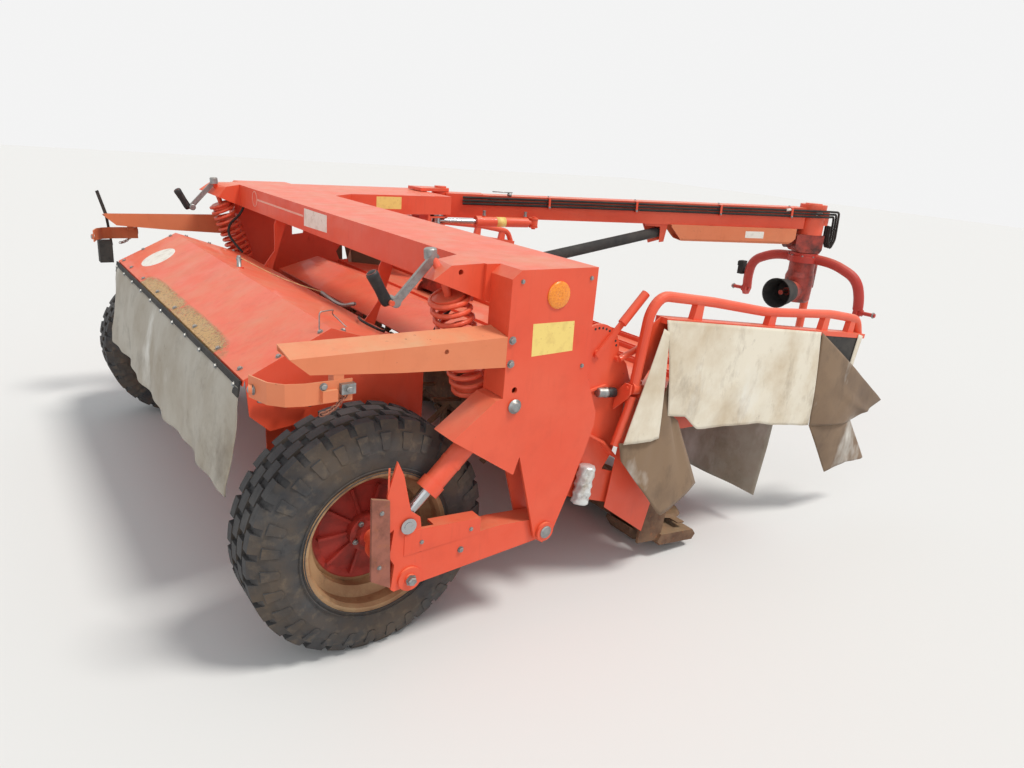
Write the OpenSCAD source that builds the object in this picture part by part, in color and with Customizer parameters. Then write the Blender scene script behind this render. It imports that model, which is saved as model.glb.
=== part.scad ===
// Trailed disc mower with a finger conditioner, parked with its drawbar swung in.
// X runs forward, Y to the machine's left and Z up from the ground.
// Heights and lengths are measured from the rear face of the main beam, and the
// finished pieces are then moved so that the origin lies under the machine's middle.

/* [Main frame] */
// Overall width over the two end legs
overall_w = 3000; // [2800:10:3200]
// Depth of the main beam, front to rear
beam_d = 372; // [320:4:420]
// Height of the main beam's section
beam_h = 120; // [90:5:160]
// Height of the beam's top above the ground
beam_top = 1326; // [1280:2:1370]
// Depth of an end leg from its outer to its inner face
leg_w = 118; // [110:2:130]
// Thickness of the leg plates
leg_plate = 10; // [8:1:14]
// Length of the drawbar stub ahead of the beam
stub_l = 830; // [700:10:900]
// Width of the drawbar stub
stub_w = 560; // [480:10:600]
// Height of the drawbar stub's section
stub_h = 112; // [90:2:118]

/* [Wheels] */
// Outer radius of the tyre over its blocks
tyre_r = 418; // [400:2:430]
// Width of the tyre
tyre_w = 268; // [240:4:290]
// Radius of the rim's seat
rim_r = 236; // [220:2:250]
// Distance of the axle behind the beam's rear face
axle_back = 352; // [330:2:380]
// Height of the axle above the ground
axle_z = 418; // [400:2:430]
// Distance of the arm's pivot ahead of the beam's rear face
pivot_x = 250; // [235:1:262]
// Height of the arm's pivot
pivot_z = 366; // [355:1:380]
// Number of tread blocks round the tyre
lugs = 30; // [20:1:36]

/* [Drawbar] */
// Hinge pin ahead of the beam's rear face
hinge_x = 1340; // [1300:5:1360]
// Hinge pin left of the middle
hinge_y = 1200; // [1150:5:1240]
// Length from the hinge pin to the swivel's axis
drawbar_l = 2740; // [2600:10:2900]
// Swing angle toward the middle, from straight ahead
drawbar_swing = 27.5; // [20:0.5:32]
// Rise of the drawbar toward its tip
drawbar_rise = 1.8; // [0:0.1:3]
// Width of the drawbar's section
drawbar_w = 150; // [120:5:170]
// Height of the drawbar's section
drawbar_h = 150; // [120:5:170]
// Distance from the swivel's axis to each hitch pin's shoulder
hitch_half = 470; // [400:5:490]
// Radius of the hitch pins
hitch_pin_r = 14; // [11:0.5:18]

/* [Cutting unit] */
// Nose-down angle of the cutting unit as it rests
unit_tilt = 7.2; // [5:0.1:8]
// Number of cutting discs
discs = 7; // [5:1:8]
// Distance between neighbouring discs
disc_pitch = 402; // [395:1:420]
// Radius of a disc's plate
disc_r = 150; // [130:2:160]
// Radius of the circle that the knife tips cut
knife_r = 196; // [180:1:200]
// Radius of the conditioner rotor's tube
rotor_r = 90; // [70:2:110]
// Reach of the tines from the rotor's axis
tine_reach = 235; // [210:5:245]
// Rows of tines along the rotor
tine_rows = 18; // [10:1:22]
// Height of the folded side guard over the canopy
guard_rise = 300; // [240:5:320]
// Length of the folded side guard
guard_l = 1400; // [1200:10:1440]

/* [Springs] */
// Mean radius of a suspension spring's coil
coil_r = 62; // [50:1:75]
// Radius of the spring's wire
wire_r = 9; // [7:0.5:11]
// Turns of a suspension spring
coil_turns = 11; // [8:1:14]

/* [Hidden] */
$fn = 40;

paint = [0.85, 0.25, 0.16];
faded = [0.86, 0.45, 0.30];
steel = [0.62, 0.64, 0.66];
dark = [0.12, 0.12, 0.13];
cloth = [0.85, 0.82, 0.74];
rust = [0.52, 0.34, 0.22];
tan_rim = [0.62, 0.47, 0.34];

// Middle of the machine along X, from the tyres' rear to the front of the stand's foot.
light_end = -716;
rear_end = -axle_back - tyre_r;
hitch_turn = 188;
stand_x = -170;
stand_r = 30;
foot_half = 90;
front_end = hinge_x + drawbar_l * cos(drawbar_swing) - (stand_x - 70) * cos(hitch_turn - 180) + foot_half * sin(hitch_turn - 180);
mid_x = (rear_end + front_end) / 2;
half_w = overall_w / 2;
beam_bot = beam_top - beam_h;
leg_in = half_w - leg_w;

// A plate or profile in the XZ plane that fills Y from low to high.
module across(low, high) translate([0, high, 0]) rotate([90, 0, 0]) linear_extrude(high - low) children();
module bar_y(x, z, r, low, high) translate([x, low, z]) rotate([-90, 0, 0]) cylinder(r = r, h = high - low);
module box(low, high) translate(low) cube(high - low);
// A round bar between two points.
module rod(a, b, r) {
  d = b - a;
  translate(a) rotate([0, acos(d[2] / norm(d)), atan2(d[1], d[0])]) cylinder(r = r, h = norm(d));
}
// A round pipe along a path; square_to is a direction that the path never runs along.
function unit_of(v) = v / norm(v);
function heading(p, i) = unit_of(p[min(i + 1, len(p) - 1)] - p[max(i - 1, 0)]);
module pipe(p, r, square_to, sides = 16) {
  n = len(p);
  ring = [for (i = [0 : n - 1]) let (t = heading(p, i), u = unit_of(cross(square_to, t)), v = cross(t, u))
    for (k = [0 : sides - 1]) p[i] + r * (cos(k * 360 / sides) * u + sin(k * 360 / sides) * v)];
  polyhedron(ring, concat([[for (k = [0 : sides - 1]) k]],
    [for (i = [0 : n - 2], k = [0 : sides - 1]) let (k2 = (k + 1) % sides)
      [(i + 1) * sides + k, (i + 1) * sides + k2, i * sides + k2, i * sides + k]],
    [[for (k = [sides - 1 : -1 : 0]) (n - 1) * sides + k]]));
}
// The path through these points with its corners rounded off over the given distance.
function rounded(p, d, steps = 6) = concat([p[0]],
  [for (i = [1 : len(p) - 2]) let (a = p[i] + unit_of(p[i - 1] - p[i]) * d, c = p[i] + unit_of(p[i + 1] - p[i]) * d)
    for (k = [0 : steps]) let (t = k / steps) a * (1 - t) * (1 - t) + p[i] * 2 * t * (1 - t) + c * t * t],
  [p[len(p) - 1]]);
module placed() translate([-mid_x, 0, 0]) children();
module sided(side) if (side < 0) children(); else mirror([0, 1, 0]) children();

// Main beam, its end caps, and the drawbar stub at its left end.
stub_near = half_w - leg_w - stub_w;
module main_beam() color(paint) placed() {
  difference() {
    union() {
      box([0, -leg_in, beam_bot], [beam_d, leg_in, beam_top]);
      linear_extrude_at(beam_top - stub_h, stub_h)
        polygon([[beam_d - 1, stub_near - 130], [beam_d + 150, stub_near], [beam_d + stub_l, stub_near],
          [beam_d + stub_l, leg_in], [beam_d - 1, leg_in]]);
      for (z = [hinge_low - 20, hinge_high])
        translate([0, 0, z]) hinge_ear();
      for (z = [hinge_low, hinge_high - 1]) box([beam_d + stub_l - 40, hinge_y - 60, min(z, beam_top - stub_h)],
        [beam_d + stub_l, hinge_y + 60, max(z, beam_top - stub_h)]);
      swing_ear();
    }
    translate([0, 0, hinge_low - 30]) translate([hinge_x, hinge_y, 0]) cylinder(r = hinge_pin_r + 0.05, h = 400);
  }
}
hinge_pin_r = 25;
hinge_low = beam_top - 170;
hinge_high = beam_top + 4;
ear_t = 20;
swing_pin_x = beam_d + 760;
swing_pin_y = stub_near + 60;
swing_pin_r = 14;
swing_z = beam_top - 156;
swing_drift = 24;
module linear_extrude_at(z, h) translate([0, 0, z]) linear_extrude(h) children();
module bar_z(x, y, z, h, r) translate([x, y, z]) cylinder(r = r, h = h);
module hinge_ear() {
  hull() {
    translate([hinge_x, hinge_y, 0]) cylinder(r = 60, h = 20);
    translate([beam_d + stub_l - 60, hinge_y - 90, 0]) cube([20, 180, 20]);
  }
}
module swing_ear() {
  for (z = [swing_z - 32, swing_z + 22])
    translate([0, 0, z]) linear_extrude(10) difference() {
      union() {
        translate([swing_pin_x, swing_pin_y]) circle(r = 58);
        translate([swing_pin_x - 80, swing_pin_y - 58]) square([80, 116]);
      }
      translate([swing_pin_x, swing_pin_y]) circle(r = swing_pin_r + swing_drift);
    }
  box([swing_pin_x - 90, swing_pin_y - 58, swing_z - 32], [swing_pin_x - 78, swing_pin_y + 58, beam_top - stub_h + 1]);
}

// End leg: an outer and an inner plate joined by webs, open below for the wheel arm.
plate_outline = [[beam_d, beam_top], [54, beam_top], [20, beam_top - 28], [19, 907], [10, 892],
  [71, 778], [107, 692], [pivot_x - 40, pivot_z - 22], [pivot_x, pivot_z - 50], [pivot_x + 42, pivot_z - 14],
  [360, 521], [436, 746], [438, 800], [beam_d + 1, 950]];
module end_leg(side) color(paint) placed() sided(side) {
  difference() {
    union() {
      across(-half_w, -half_w + leg_plate) polygon(plate_outline);
      across(-leg_in - leg_plate, -leg_in - 0.3) polygon(plate_outline);
      across(-half_w, -leg_in - 0.3) polygon([[54, beam_top], [20, beam_top - 28], [20, 910], [30, 910], [30, beam_top - 32],
        [58, beam_top - 10], [beam_d - 10, beam_top - 10], [beam_d - 10, 950], [426, 800], [424, 748], [390, 640],
        [402, 636], [436, 746], [438, 800], [beam_d, 950], [beam_d, beam_top]]);
      across(-half_w, -half_w + 6) polygon([[-164, 790], [-6, 904], [60, 904], [114, 701], [88, 622]]);
      across(-half_w, -leg_in - 0.3) polygon([[-164, 790], [-6, 904], [24, 908], [24, 900], [-3, 897], [-158, 785]]);
      bar_y(cyl_x, cyl_z, 34, -half_w, -half_w + 17);
      bar_y(pivot_x, pivot_z, 40, -half_w + 1, -half_w + 13);
    }
    bar_y(pivot_x, pivot_z, pivot_r + 0.05, -half_w - 1, -leg_in + 1);
    bar_y(63, 931, 11, -half_w - 1, -half_w + 30);
  }
  bar_y(cyl_x, cyl_z, cyl_pin_r, -half_w - 6, -leg_in + 4);
  bar_y(cyl_x, cyl_z, 23, -half_w - 4, -half_w + 1);
}
pivot_r = 22;
cyl_x = 66;
cyl_z = 876;
cyl_pin_r = 15;

// Trailing wheel arm with its pivot pin, knuckle and stub axle.
arm_low = -half_w + leg_plate + 6;
arm_high = -leg_in - leg_plate - 6;
wheel_out = -half_w + 115;
rod_pin_x = -302;
rod_pin_z = 520;
module wheel_arm(side) color(paint) placed() sided(side) {
  difference() {
    union() {
      across(arm_low, arm_high) polygon([[pivot_x - 6, pivot_z + 45], [pivot_x + 38, pivot_z + 8], [pivot_x + 20, pivot_z - 38],
        [-345, 290], [-356, 300], [-345, 395], [-200, 420], [60, 428]]);
      across(arm_low, arm_low + 10) polygon(ear_outline);
      across(arm_high - 10, arm_high) polygon(ear_outline);
      across(arm_low - 6, arm_low + 4) polygon([[-430, 642], [-373, 625], [-363, 315], [-427, 357]]);
      across(arm_low, arm_low + 8) polygon([[-376, 500], [-376, 640], [-345, 749], [-322, 700], [-300, 600], [-290, 560]]);
      translate([-372, arm_low + 3, 640]) rotate([0, 0, 62]) box([0, -3, -210], [70, 3, 60]);
      difference() {
        across(arm_low - 2, arm_low + 54) polygon([[-313, 486], [-270, 498], [-22, 479], [-22, 420], [-313, 412]]);
        across(arm_low + 5, arm_low + 55) polygon([[-314, 479], [-270, 490], [-21, 471], [-21, 428], [-314, 421]]);
      }
      bar_y(-290, 324, 42, arm_low - 8, arm_low + 1);
      bar_y(-290, 324, 20, arm_low - 14, arm_low + 1);
      bar_y(-axle_back, axle_z, 52, arm_high - 12, wheel_out - 4);
      bar_y(-axle_back, axle_z, axle_r, wheel_out - 8, wheel_out + 196);
      bar_y(pivot_x, pivot_z, pivot_r, -half_w - 12, -leg_in + 10);
      bar_y(pivot_x, pivot_z, pivot_r + 14, -half_w - 12, -half_w - 2);
    }
    across(arm_low + 12, arm_high - 12) polygon([[-357, 312], [-357, 386], [-230, 396], [-230, 318]]);
    across(arm_low + 10.5, arm_high - 10.5) polygon([[-390, 421], [-200, 421], [-200, 620], [-390, 620]]);
    bar_y(rod_pin_x, rod_pin_z, cyl_pin_r + lift_drift, arm_low - 10, arm_high + 10);
  }
}
axle_r = 30;
ear_outline = [[-345, 388], [-240, 415], [-258, 540], [-290, 566], [-330, 560], [-350, 520], [-364, 420]];
lift_drift = 7;

// Block tread tyre.
tyre_mid = wheel_out + tyre_w / 2;
// Each row of blocks: start across the tyre, width, offset round in pitches, edge slopes.
lug_half = 0.36 * 360 / lugs;
tread_rows = [[18, 58, 0, 22, 0], [86, 44, 0.5, 0, 0], [138, 44, 0, 0, 0], [192, 58, 0.5, 0, 22]];
module wheel_place() translate([-axle_back, wheel_out, axle_z]) rotate([-90, 0, 0]) children();
module tyre(side) color(dark) placed() sided(side) wheel_place() {
  body_r = tyre_r - 14;
  rotate_extrude($fn = 72) polygon([[rim_r + 0.3, 22.4], [rim_r + 7.2, 12.6], [rim_r + 18.4, 10.6], [rim_r + 18.4, 4], [rim_r + 40, 2],
    [rim_r + 90, -2], [body_r - 44, 6], [body_r - 14, 24], [body_r, 46], [body_r, tyre_w - 46], [body_r - 14, tyre_w - 24],
    [body_r - 44, tyre_w - 6], [rim_r + 90, tyre_w + 2], [rim_r + 40, tyre_w - 2], [rim_r + 18.4, tyre_w - 4],
    [rim_r + 18.4, tyre_w - 10.6], [rim_r + 7.2, tyre_w - 12.6], [rim_r + 0.3, tyre_w - 22.4]]);
  for (i = [0 : lugs - 1], row = tread_rows)
    rotate([0, 0, (i + row[2]) * 360 / lugs]) translate([0, 0, row[0]]) rotate([0, 0, -lug_half])
      rotate_extrude(angle = 2 * lug_half, $fn = 72)
        polygon([[body_r - 24, 0], [tyre_r, row[3]], [tyre_r, row[1] - row[4]], [body_r - 24, row[1]]]);
}

// Dished rim with its ribbed hub disc.
module rim(side) color(tan_rim) placed() sided(side) wheel_place() {
  rotate_extrude($fn = 72) polygon([[rim_r + 18, 10], [rim_r + 7, 12], [rim_r, 22], [rim_r, 62], [rim_r - 32, 84],
    [rim_r - 32, 150], [rim_r, 176], [rim_r, tyre_w - 22], [rim_r + 7, tyre_w - 12], [rim_r + 18, tyre_w - 10],
    [rim_r + 18, tyre_w - 4], [rim_r + 2, tyre_w - 4], [rim_r - 7, tyre_w - 18], [rim_r - 7, 180],
    [rim_r - 39, 154], [rim_r - 39, 80], [rim_r - 7, 58], [rim_r - 7, 18], [rim_r + 2, 4], [rim_r + 18, 4]]);
  rotate_extrude($fn = 48) polygon([[axle_r + 0.06, 52], [44, 52], [48, 74], [66, 78], [66, 112], [160, 120], [180, 112], [rim_r - 38, 118],
    [rim_r - 38, 128], [178, 122], [160, 130], [70, 124], [66, 190], [axle_r + 0.06, 190]]);
  for (i = [0 : 9]) rotate([0, 0, i * 36]) box([58, -5, 103], [166, 5, 122]);
  for (i = [0 : 4]) rotate([0, 0, i * 72 + 18]) translate([55, 0, 68]) cylinder(r = 7, h = 20);
}

// Lift cylinder between the leg and the wheel arm.
lift_a = [cyl_x, 0, cyl_z];
lift_b = [rod_pin_x, 0, rod_pin_z];
lift_dir = (lift_b - lift_a) / norm(lift_b - lift_a);
lift_y = (arm_low + arm_high) / 2;
function at_y(p, y) = [p[0], y, p[2]];
module lift_barrel(side) color(paint) placed() sided(side) {
  difference() {
    union() {
      bar_y(cyl_x, cyl_z, 30, lift_y - 22, lift_y + 22);
      rod(at_y(lift_a + lift_dir * 25, lift_y), at_y(lift_a + lift_dir * 380, lift_y), 36);
      rod(at_y(lift_a + lift_dir * 262, lift_y), at_y(lift_a + lift_dir * 276, lift_y), 37.5);
      rod(at_y(lift_a + lift_dir * 352, lift_y), at_y(lift_a + lift_dir * 392, lift_y), 41);
      translate(at_y(lift_a + lift_dir * 190, lift_y)) rotate([90, 0, 0]) cylinder(r = 12, h = 41);
    }
    bar_y(cyl_x, cyl_z, cyl_pin_r + 0.05, lift_y - 60, lift_y + 60);
    rod(at_y(lift_a + lift_dir * 60, lift_y), at_y(lift_a + lift_dir * 420, lift_y), 20.05);
  }
}
module lift_rod(side) color(steel) placed() sided(side) {
  difference() {
    union() {
      rod(at_y(lift_a + lift_dir * 80, lift_y), at_y(lift_b - lift_dir * 24, lift_y), 20);
      bar_y(rod_pin_x, rod_pin_z, 30, lift_y - 22, lift_y + 22);
      bar_y(rod_pin_x, rod_pin_z, cyl_pin_r, arm_low - 10, arm_high + 10);
      bar_y(rod_pin_x, rod_pin_z, cyl_pin_r + 12, arm_low - 8, arm_low - 3);
    }
  }
}

// Folded light arms behind the legs.
module light_arm(side) color(faded) placed() sided(side) {
  difference() {
    translate([-700, 0, 0]) rotate([90, 0, 90]) linear_extrude(719.1) difference() {
      polygon([[-half_w, 990], [-half_w, 1114], [-half_w + 100, 1131], [-half_w + 100, 1000]]);
      polygon([[-half_w + 4, 980], [-half_w + 4, 1110], [-half_w + 96, 1126], [-half_w + 96, 980]]);
    }
    across(-half_w - 1, -half_w + 130) polygon([[-710, 1150], [-684, 1150], [-682, 1112], [-628, 1065], [-358, 1040],
      [20, 1014], [20, 970], [-710, 970]]);
    bar_y(-203, 1088, 8, -half_w - 1, -half_w + 20);
  }
  translate([0, 0, 978]) linear_extrude(64) polygon(strip([[-505, -half_w + 5], [-640, -half_w + 5], [-690, -half_w + 18],
    [-725, -half_w + 52], [-748, -half_w + 130]], 5));
  box([-560, -half_w + 1, 1030], [-530, -half_w + 40, 1066]);
  box([-596, -half_w - 12, 984], [-552, -half_w + 6, 1018]);
  translate([-748, -half_w + 112, 1005]) rotate([0, -90, -16]) cylinder(r = 14, h = 10);
}
module light_lamp() color(dark) placed() {
  across(half_w + 0.3, half_w + 5.3) polygon([[-690, 1247], [-655, 1120], [-639, 940], [-650, 938], [-668, 1100], [-706, 1240]]);
  box([-718, half_w - 60, 850], [-650, half_w + 5, 972]);
}
// A thin strip along a flat path, thickness t to its left.
function normal_at(p, i) = let (h = heading(p, i)) [-h[1], h[0]];
function strip(p, t) = concat(p, [for (i = [len(p) - 1 : -1 : 0]) p[i] + normal_at(p, i) * t]);

// Rear swath hood between the wheels.
hood_gap = 42;
hood_half = -wheel_out - tyre_w - hood_gap;
module rear_hood() color(paint) placed() {
  across(-hood_half, hood_half) polygon([[-30, 950], [-390, 1070], [-680, 925], [-684, 905], [-680, 905], [-676, 922], [-390, 1064],
    [-33, 945], [-33, 905], [-30, 905]]);
  for (y = [-hood_half, hood_half - 5]) across(y, y + 5) polygon([[-36, 948], [-390, 1067], [-674, 924.5], [-664, 800], [-600, 740],
    [-330, 770], [-180, 600], [-35, 600]]);
  for (y = [-hood_half - 0.3, hood_half - 39.7]) across(y, y + 40) polygon([[-34.5, 948], [-390, 1066.5], [-671, 925.5], [-667, 916],
    [-390, 1056], [-34.5, 938]]);
  for (s = [-1, 1]) {
    rod([-639, s * (hood_half + 24), 862], [-474, s * (hood_half + 24), 826], 9);
    bar_y(-556, 844, 12, s < 0 ? -hood_half - 30 : hood_half - 4, s < 0 ? -hood_half + 4 : hood_half + 30);
    bar_y(-556, 844, 26, s < 0 ? -hood_half - 6 : hood_half - 4, s < 0 ? -hood_half + 4 : hood_half + 6);
  }
  bar_z(-330, 130, 1040, 60, 9);
  bar_z(-330, 130, 1040, 14, 20);
  for (y = [-620, 620]) across(y - 3, y + 3) polygon([[-0.3, 1040], [-0.3, 1180], [12, beam_bot - 0.3], [60, beam_bot - 0.3],
    [60, beam_bot - 30], [-18, 930], [-62, 928], [-62, 957]]);
}
module rear_canvas() color(cloth) placed() {
  across(-hood_half + 6, hood_half - 6) polygon([[-684.3, 918], [-712, 830], [-738, 700], [-752, 520], [-757, 520], [-743, 702],
    [-717, 832], [-689, 919]]);
  across(-hood_half + 2, hood_half - 2) polygon([[-684.3, 921], [-684.3, 880], [-688, 880], [-688, 921]]);
}
module swath_board(side) color(paint) placed() sided(side) {
  translate([-560, -hood_half + 160, 0]) rotate([0, 0, 12]) {
    box([0, 0, 520], [420, 5, 880]);
    box([0, -12, 520], [420, 0.5, 526]);
    bar_z(62, 2.5, 870, 133.6, 11);
    bar_z(62, 2.5, 860, 24, 18);
  }
}

// Hanger brackets and coil springs.
spring_y = half_w - 205;
spring_top = [-86, -spring_y, 1216];
spring_foot = [34, -spring_y, 872];
spring_up = (spring_top - spring_foot) / norm(spring_top - spring_foot);
spring_side = cross([0, 1, 0], spring_up);
coil_steps = 18;
module spring_hanger(side) color(paint) placed() sided(side) {
  y_out = -half_w + 130;
  y_in = -half_w + 300;
  difference() {
    hull() {
      across(y_out, y_out + 1) polygon([[-0.3, beam_top], [-122, 1322], [-185, 1278], [-0.3, 1206]]);
      across(y_in - 1, y_in) polygon([[-0.3, beam_top], [-76, 1312], [-122, 1253], [-0.3, 1206]]);
    }
    hull() {
      across(y_out + 6, y_out + 7) polygon([[-6, beam_top - 6], [-119, 1316], [-177, 1276], [-160, 1240], [-6, 1150]]);
      across(y_in - 7, y_in - 6) polygon([[-6, beam_top - 6], [-73, 1306], [-115, 1252], [-100, 1220], [-6, 1150]]);
    }
    bar_y(-87, 1300, 9, y_out - 1, y_out + 10);
  }
  crank_y = -half_w + 250;
  rod([-128, crank_y, 1340], spring_top + spring_up * 50, 13);
  rod(spring_top + spring_up * 62, spring_top - spring_up * 5.7, 13);
  rod([-128, crank_y, 1322], [-131, crank_y, 1350], 20);
  translate([-128, crank_y, 1330]) rotate([0, 43, 0]) box([-12, -20, -196], [12, -10, 14]);
  rod([-272, crank_y - 24, 1190], [-272, crank_y + 10, 1190], 9);
  rod([-276, crank_y + 4, 1184], [-334, crank_y + 4, 1286], 16);
}
function coil_point(t) = spring_top + (spring_foot - spring_top) * t
  + coil_r * (cos(t * 360 * coil_turns) * spring_side + sin(t * 360 * coil_turns) * [0, 1, 0]);
module spring(side) color(paint) placed() sided(side) {
  pipe([for (i = [0 : coil_turns * coil_steps]) coil_point(i / (coil_turns * coil_steps))], wire_r, spring_up, 10);
  rod(spring_top - spring_up * 6, spring_top - spring_up * 34, coil_r - wire_r + 2);
  rod(spring_foot + spring_up * 34, spring_foot + spring_up * 6, coil_r - wire_r + 2);
  rod(spring_foot + spring_up * 10, spring_foot - spring_up * 46, 10);
  translate(spring_foot - spring_up * 46) sphere(r = 13);
  bar_z(spring_foot[0] - 46 * spring_up[0], -spring_y, 800.3, 30, 10);
}

// Drawbar with its hinge head, seen in its own frame from the hinge pin.
module on_bar() translate([hinge_x, hinge_y, beam_top - 85]) rotate([0, 0, -drawbar_swing]) children();
bar_top = 75;
clip_places = [740, 1360, 1980, drawbar_l - 220];
module drawbar() color(paint) placed() on_bar() {
  difference() {
    union() {
      bar_z(0, 0, hinge_low - frame_z + 2, hinge_high - hinge_low - 4, 58);
      rotate([0, -drawbar_rise, 0]) {
        box([50, -drawbar_w / 2, bar_top - drawbar_h], [drawbar_l - 90, drawbar_w / 2, bar_top]);
        box([40, -drawbar_w / 2 - 4, bar_top - drawbar_h - 4], [290, drawbar_w / 2 + 4, bar_top + 4]);
        for (s = clip_places) for (z = [bar_top - 4, bar_top - 74])
          box([s, -drawbar_w / 2 - 34, z], [s + 14, -drawbar_w / 2 + 1, z + 5]);
        for (s = clip_places)
          box([s, -drawbar_w / 2 - 34, bar_top - 74], [s + 14, -drawbar_w / 2 - 29, bar_top + 1]);
      }
      bar_z(drawbar_l, 0, gearbox_top - frame_z + 0.3, 215, 95);
      bar_z(drawbar_l, 0, gearbox_top - frame_z + 190, 32, 60);
      difference() {
        bar_z(drawbar_l + 80, 0, 40, 92, 52);
        bar_z(drawbar_l + 80, 0, 30, 110, 44);
      }
      swing_bracket();
      guard_bracket();
    }
    bar_z(swing_eye_x, swing_eye_y, swing_z - frame_z - 60, 120, swing_pin_r + 0.05);
  }
  bar_z(0, 0, hinge_low - frame_z - ear_t - 8, hinge_high - hinge_low + 2 * ear_t + 16, hinge_pin_r);
  bar_z(0, 0, hinge_high - frame_z + ear_t + 0.3, 11, 40);
}
frame_z = beam_top - 85;
gearbox_top = 1210;
gearbox_low = 1080;
swing_eye_x = 640;
swing_eye_y = -drawbar_w / 2 - 60;
module swing_bracket() {
  for (z = [swing_z - 32, swing_z + 22])
    translate([0, 0, z - frame_z]) linear_extrude(10) {
      translate([swing_eye_x, swing_eye_y]) circle(r = 30);
      translate([swing_eye_x - 30, swing_eye_y]) square([60, -drawbar_w / 2 + 32 - swing_eye_y]);
    }
  box([swing_eye_x - 30, -drawbar_w / 2 + 24, swing_z - 32 - frame_z], [swing_eye_x + 30, -drawbar_w / 2 + 32, swing_z + 32 - frame_z]);
}
shaft_s = 1570;
shaft_joint_z = 1150;
shaft_pin_r = 12;
module guard_bracket() {
  across(46, 54) polygon([[shaft_s - 120, 5], [shaft_s + 60, 5], [shaft_s + 40, -150], [shaft_s - 40, -176],
    [shaft_s - 60, -120]]);
  across(-54, -46) polygon([[shaft_s - 120, 5], [shaft_s + 60, 5], [shaft_s + 40, -150], [shaft_s + 8, -156],
    [shaft_s + 2, -46], [shaft_s - 106, -46]]);
  across(-54, 54) polygon([[shaft_s + 40, 0], [shaft_s + 48, 0], [shaft_s + 41, -146], [shaft_s + 34, -146]]);
  box([shaft_s - 30, -50, -46], [shaft_s + 42, 50, -40]);
  bar_z(shaft_s, 0, -144, 102, shaft_pin_r);
  bar_z(shaft_s, 0, -144, 8, shaft_pin_r + 8);
}

trough_start = 1640;
trough_end = drawbar_l - 150;
module shaft_guard() color(faded) placed() on_bar() rotate([0, -drawbar_rise, 0])
  difference() {
    translate([trough_start, 0, bar_top - drawbar_h - 0.3]) rotate([90, 0, 90]) linear_extrude(trough_end - trough_start)
      difference() {
        polygon([[-95, 0], [-95, -95], [-78, -112], [78, -112], [95, -95], [95, 0], [70, 0], [70, -4], [-70, -4], [-70, 0]]);
        polygon([[-91, -4], [-91, -93], [-76, -108], [76, -108], [91, -93], [91, -4]]);
      }
    across(-100, 100) polygon([[trough_start - 1, bar_top - drawbar_h - 14], [trough_start + 90, bar_top - drawbar_h - 120],
      [trough_start - 1, bar_top - drawbar_h - 120]]);
    across(-100, 100) polygon([[trough_end + 1, bar_top - drawbar_h - 70], [trough_end - 50, bar_top - drawbar_h - 120],
      [trough_end + 1, bar_top - drawbar_h - 120]]);
  }

// Swing cylinder between the stub and the drawbar.
swing_a = [hinge_x + swing_eye_x * cos(drawbar_swing) + swing_eye_y * sin(drawbar_swing),
  hinge_y - swing_eye_x * sin(drawbar_swing) + swing_eye_y * cos(drawbar_swing), swing_z];
swing_b = [swing_pin_x, swing_pin_y, swing_z];
swing_dir = (swing_b - swing_a) / norm(swing_b - swing_a);
module swing_barrel() color(paint) placed() {
  difference() {
    union() {
      bar_z(swing_a[0], swing_a[1], swing_z - 20, 40, 28);
      rod(swing_a + swing_dir * 18, swing_a + swing_dir * 60, 18);
      rod(swing_a + swing_dir * 50, swing_a + swing_dir * 420, 32);
      rod(swing_a + swing_dir * 400, swing_a + swing_dir * 440, 37);
      rod(swing_a + swing_dir * 70, swing_a + swing_dir * 70 + [0, 0, 46], 11);
      rod(swing_a + swing_dir * 380, swing_a + swing_dir * 380 + [0, 0, 46], 11);
    }
    rod(swing_a + swing_dir * 100, swing_a + swing_dir * 500, 16.05);
  }
  bar_z(swing_a[0], swing_a[1], swing_z - 42, 84, swing_pin_r);
}
module swing_rod() color(steel) placed() {
  rod(swing_a + swing_dir * 100, swing_b, 16);
  bar_z(swing_b[0], swing_b[1], swing_z - 20, 40, 28);
  bar_z(swing_b[0], swing_b[1], swing_z - 42, 84, swing_pin_r);
  for (z = [swing_z - 42, swing_z + 34]) bar_z(swing_b[0], swing_b[1], z, 8, 44);
}

// Telescopic drive shaft from the drawbar's front to the cutting unit's gearbox.
shaft_a = [hinge_x + shaft_s * cos(drawbar_swing), hinge_y - shaft_s * sin(drawbar_swing), shaft_joint_z];
shaft_b = [1060, 360, 920];
shaft_dir = (shaft_b - shaft_a) / norm(shaft_b - shaft_a);
shaft_len = norm(shaft_b - shaft_a);
module drive_shaft_outer() color(dark) placed() {
  difference() {
    union() {
      rod(shaft_a, shaft_a + shaft_dir * 1250, 36);
      bar_z(shaft_a[0], shaft_a[1], shaft_joint_z - 22, 44, 30);
    }
    rod(shaft_a + shaft_dir * 60, shaft_a + shaft_dir * 1300, 26.05);
    bar_z(shaft_a[0], shaft_a[1], shaft_joint_z - 60, 120, shaft_pin_r + 0.05);
  }
}
module drive_shaft_inner() color(dark) placed()
  rod(shaft_a + shaft_dir * 100, shaft_b - shaft_dir * 40, 26);

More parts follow.
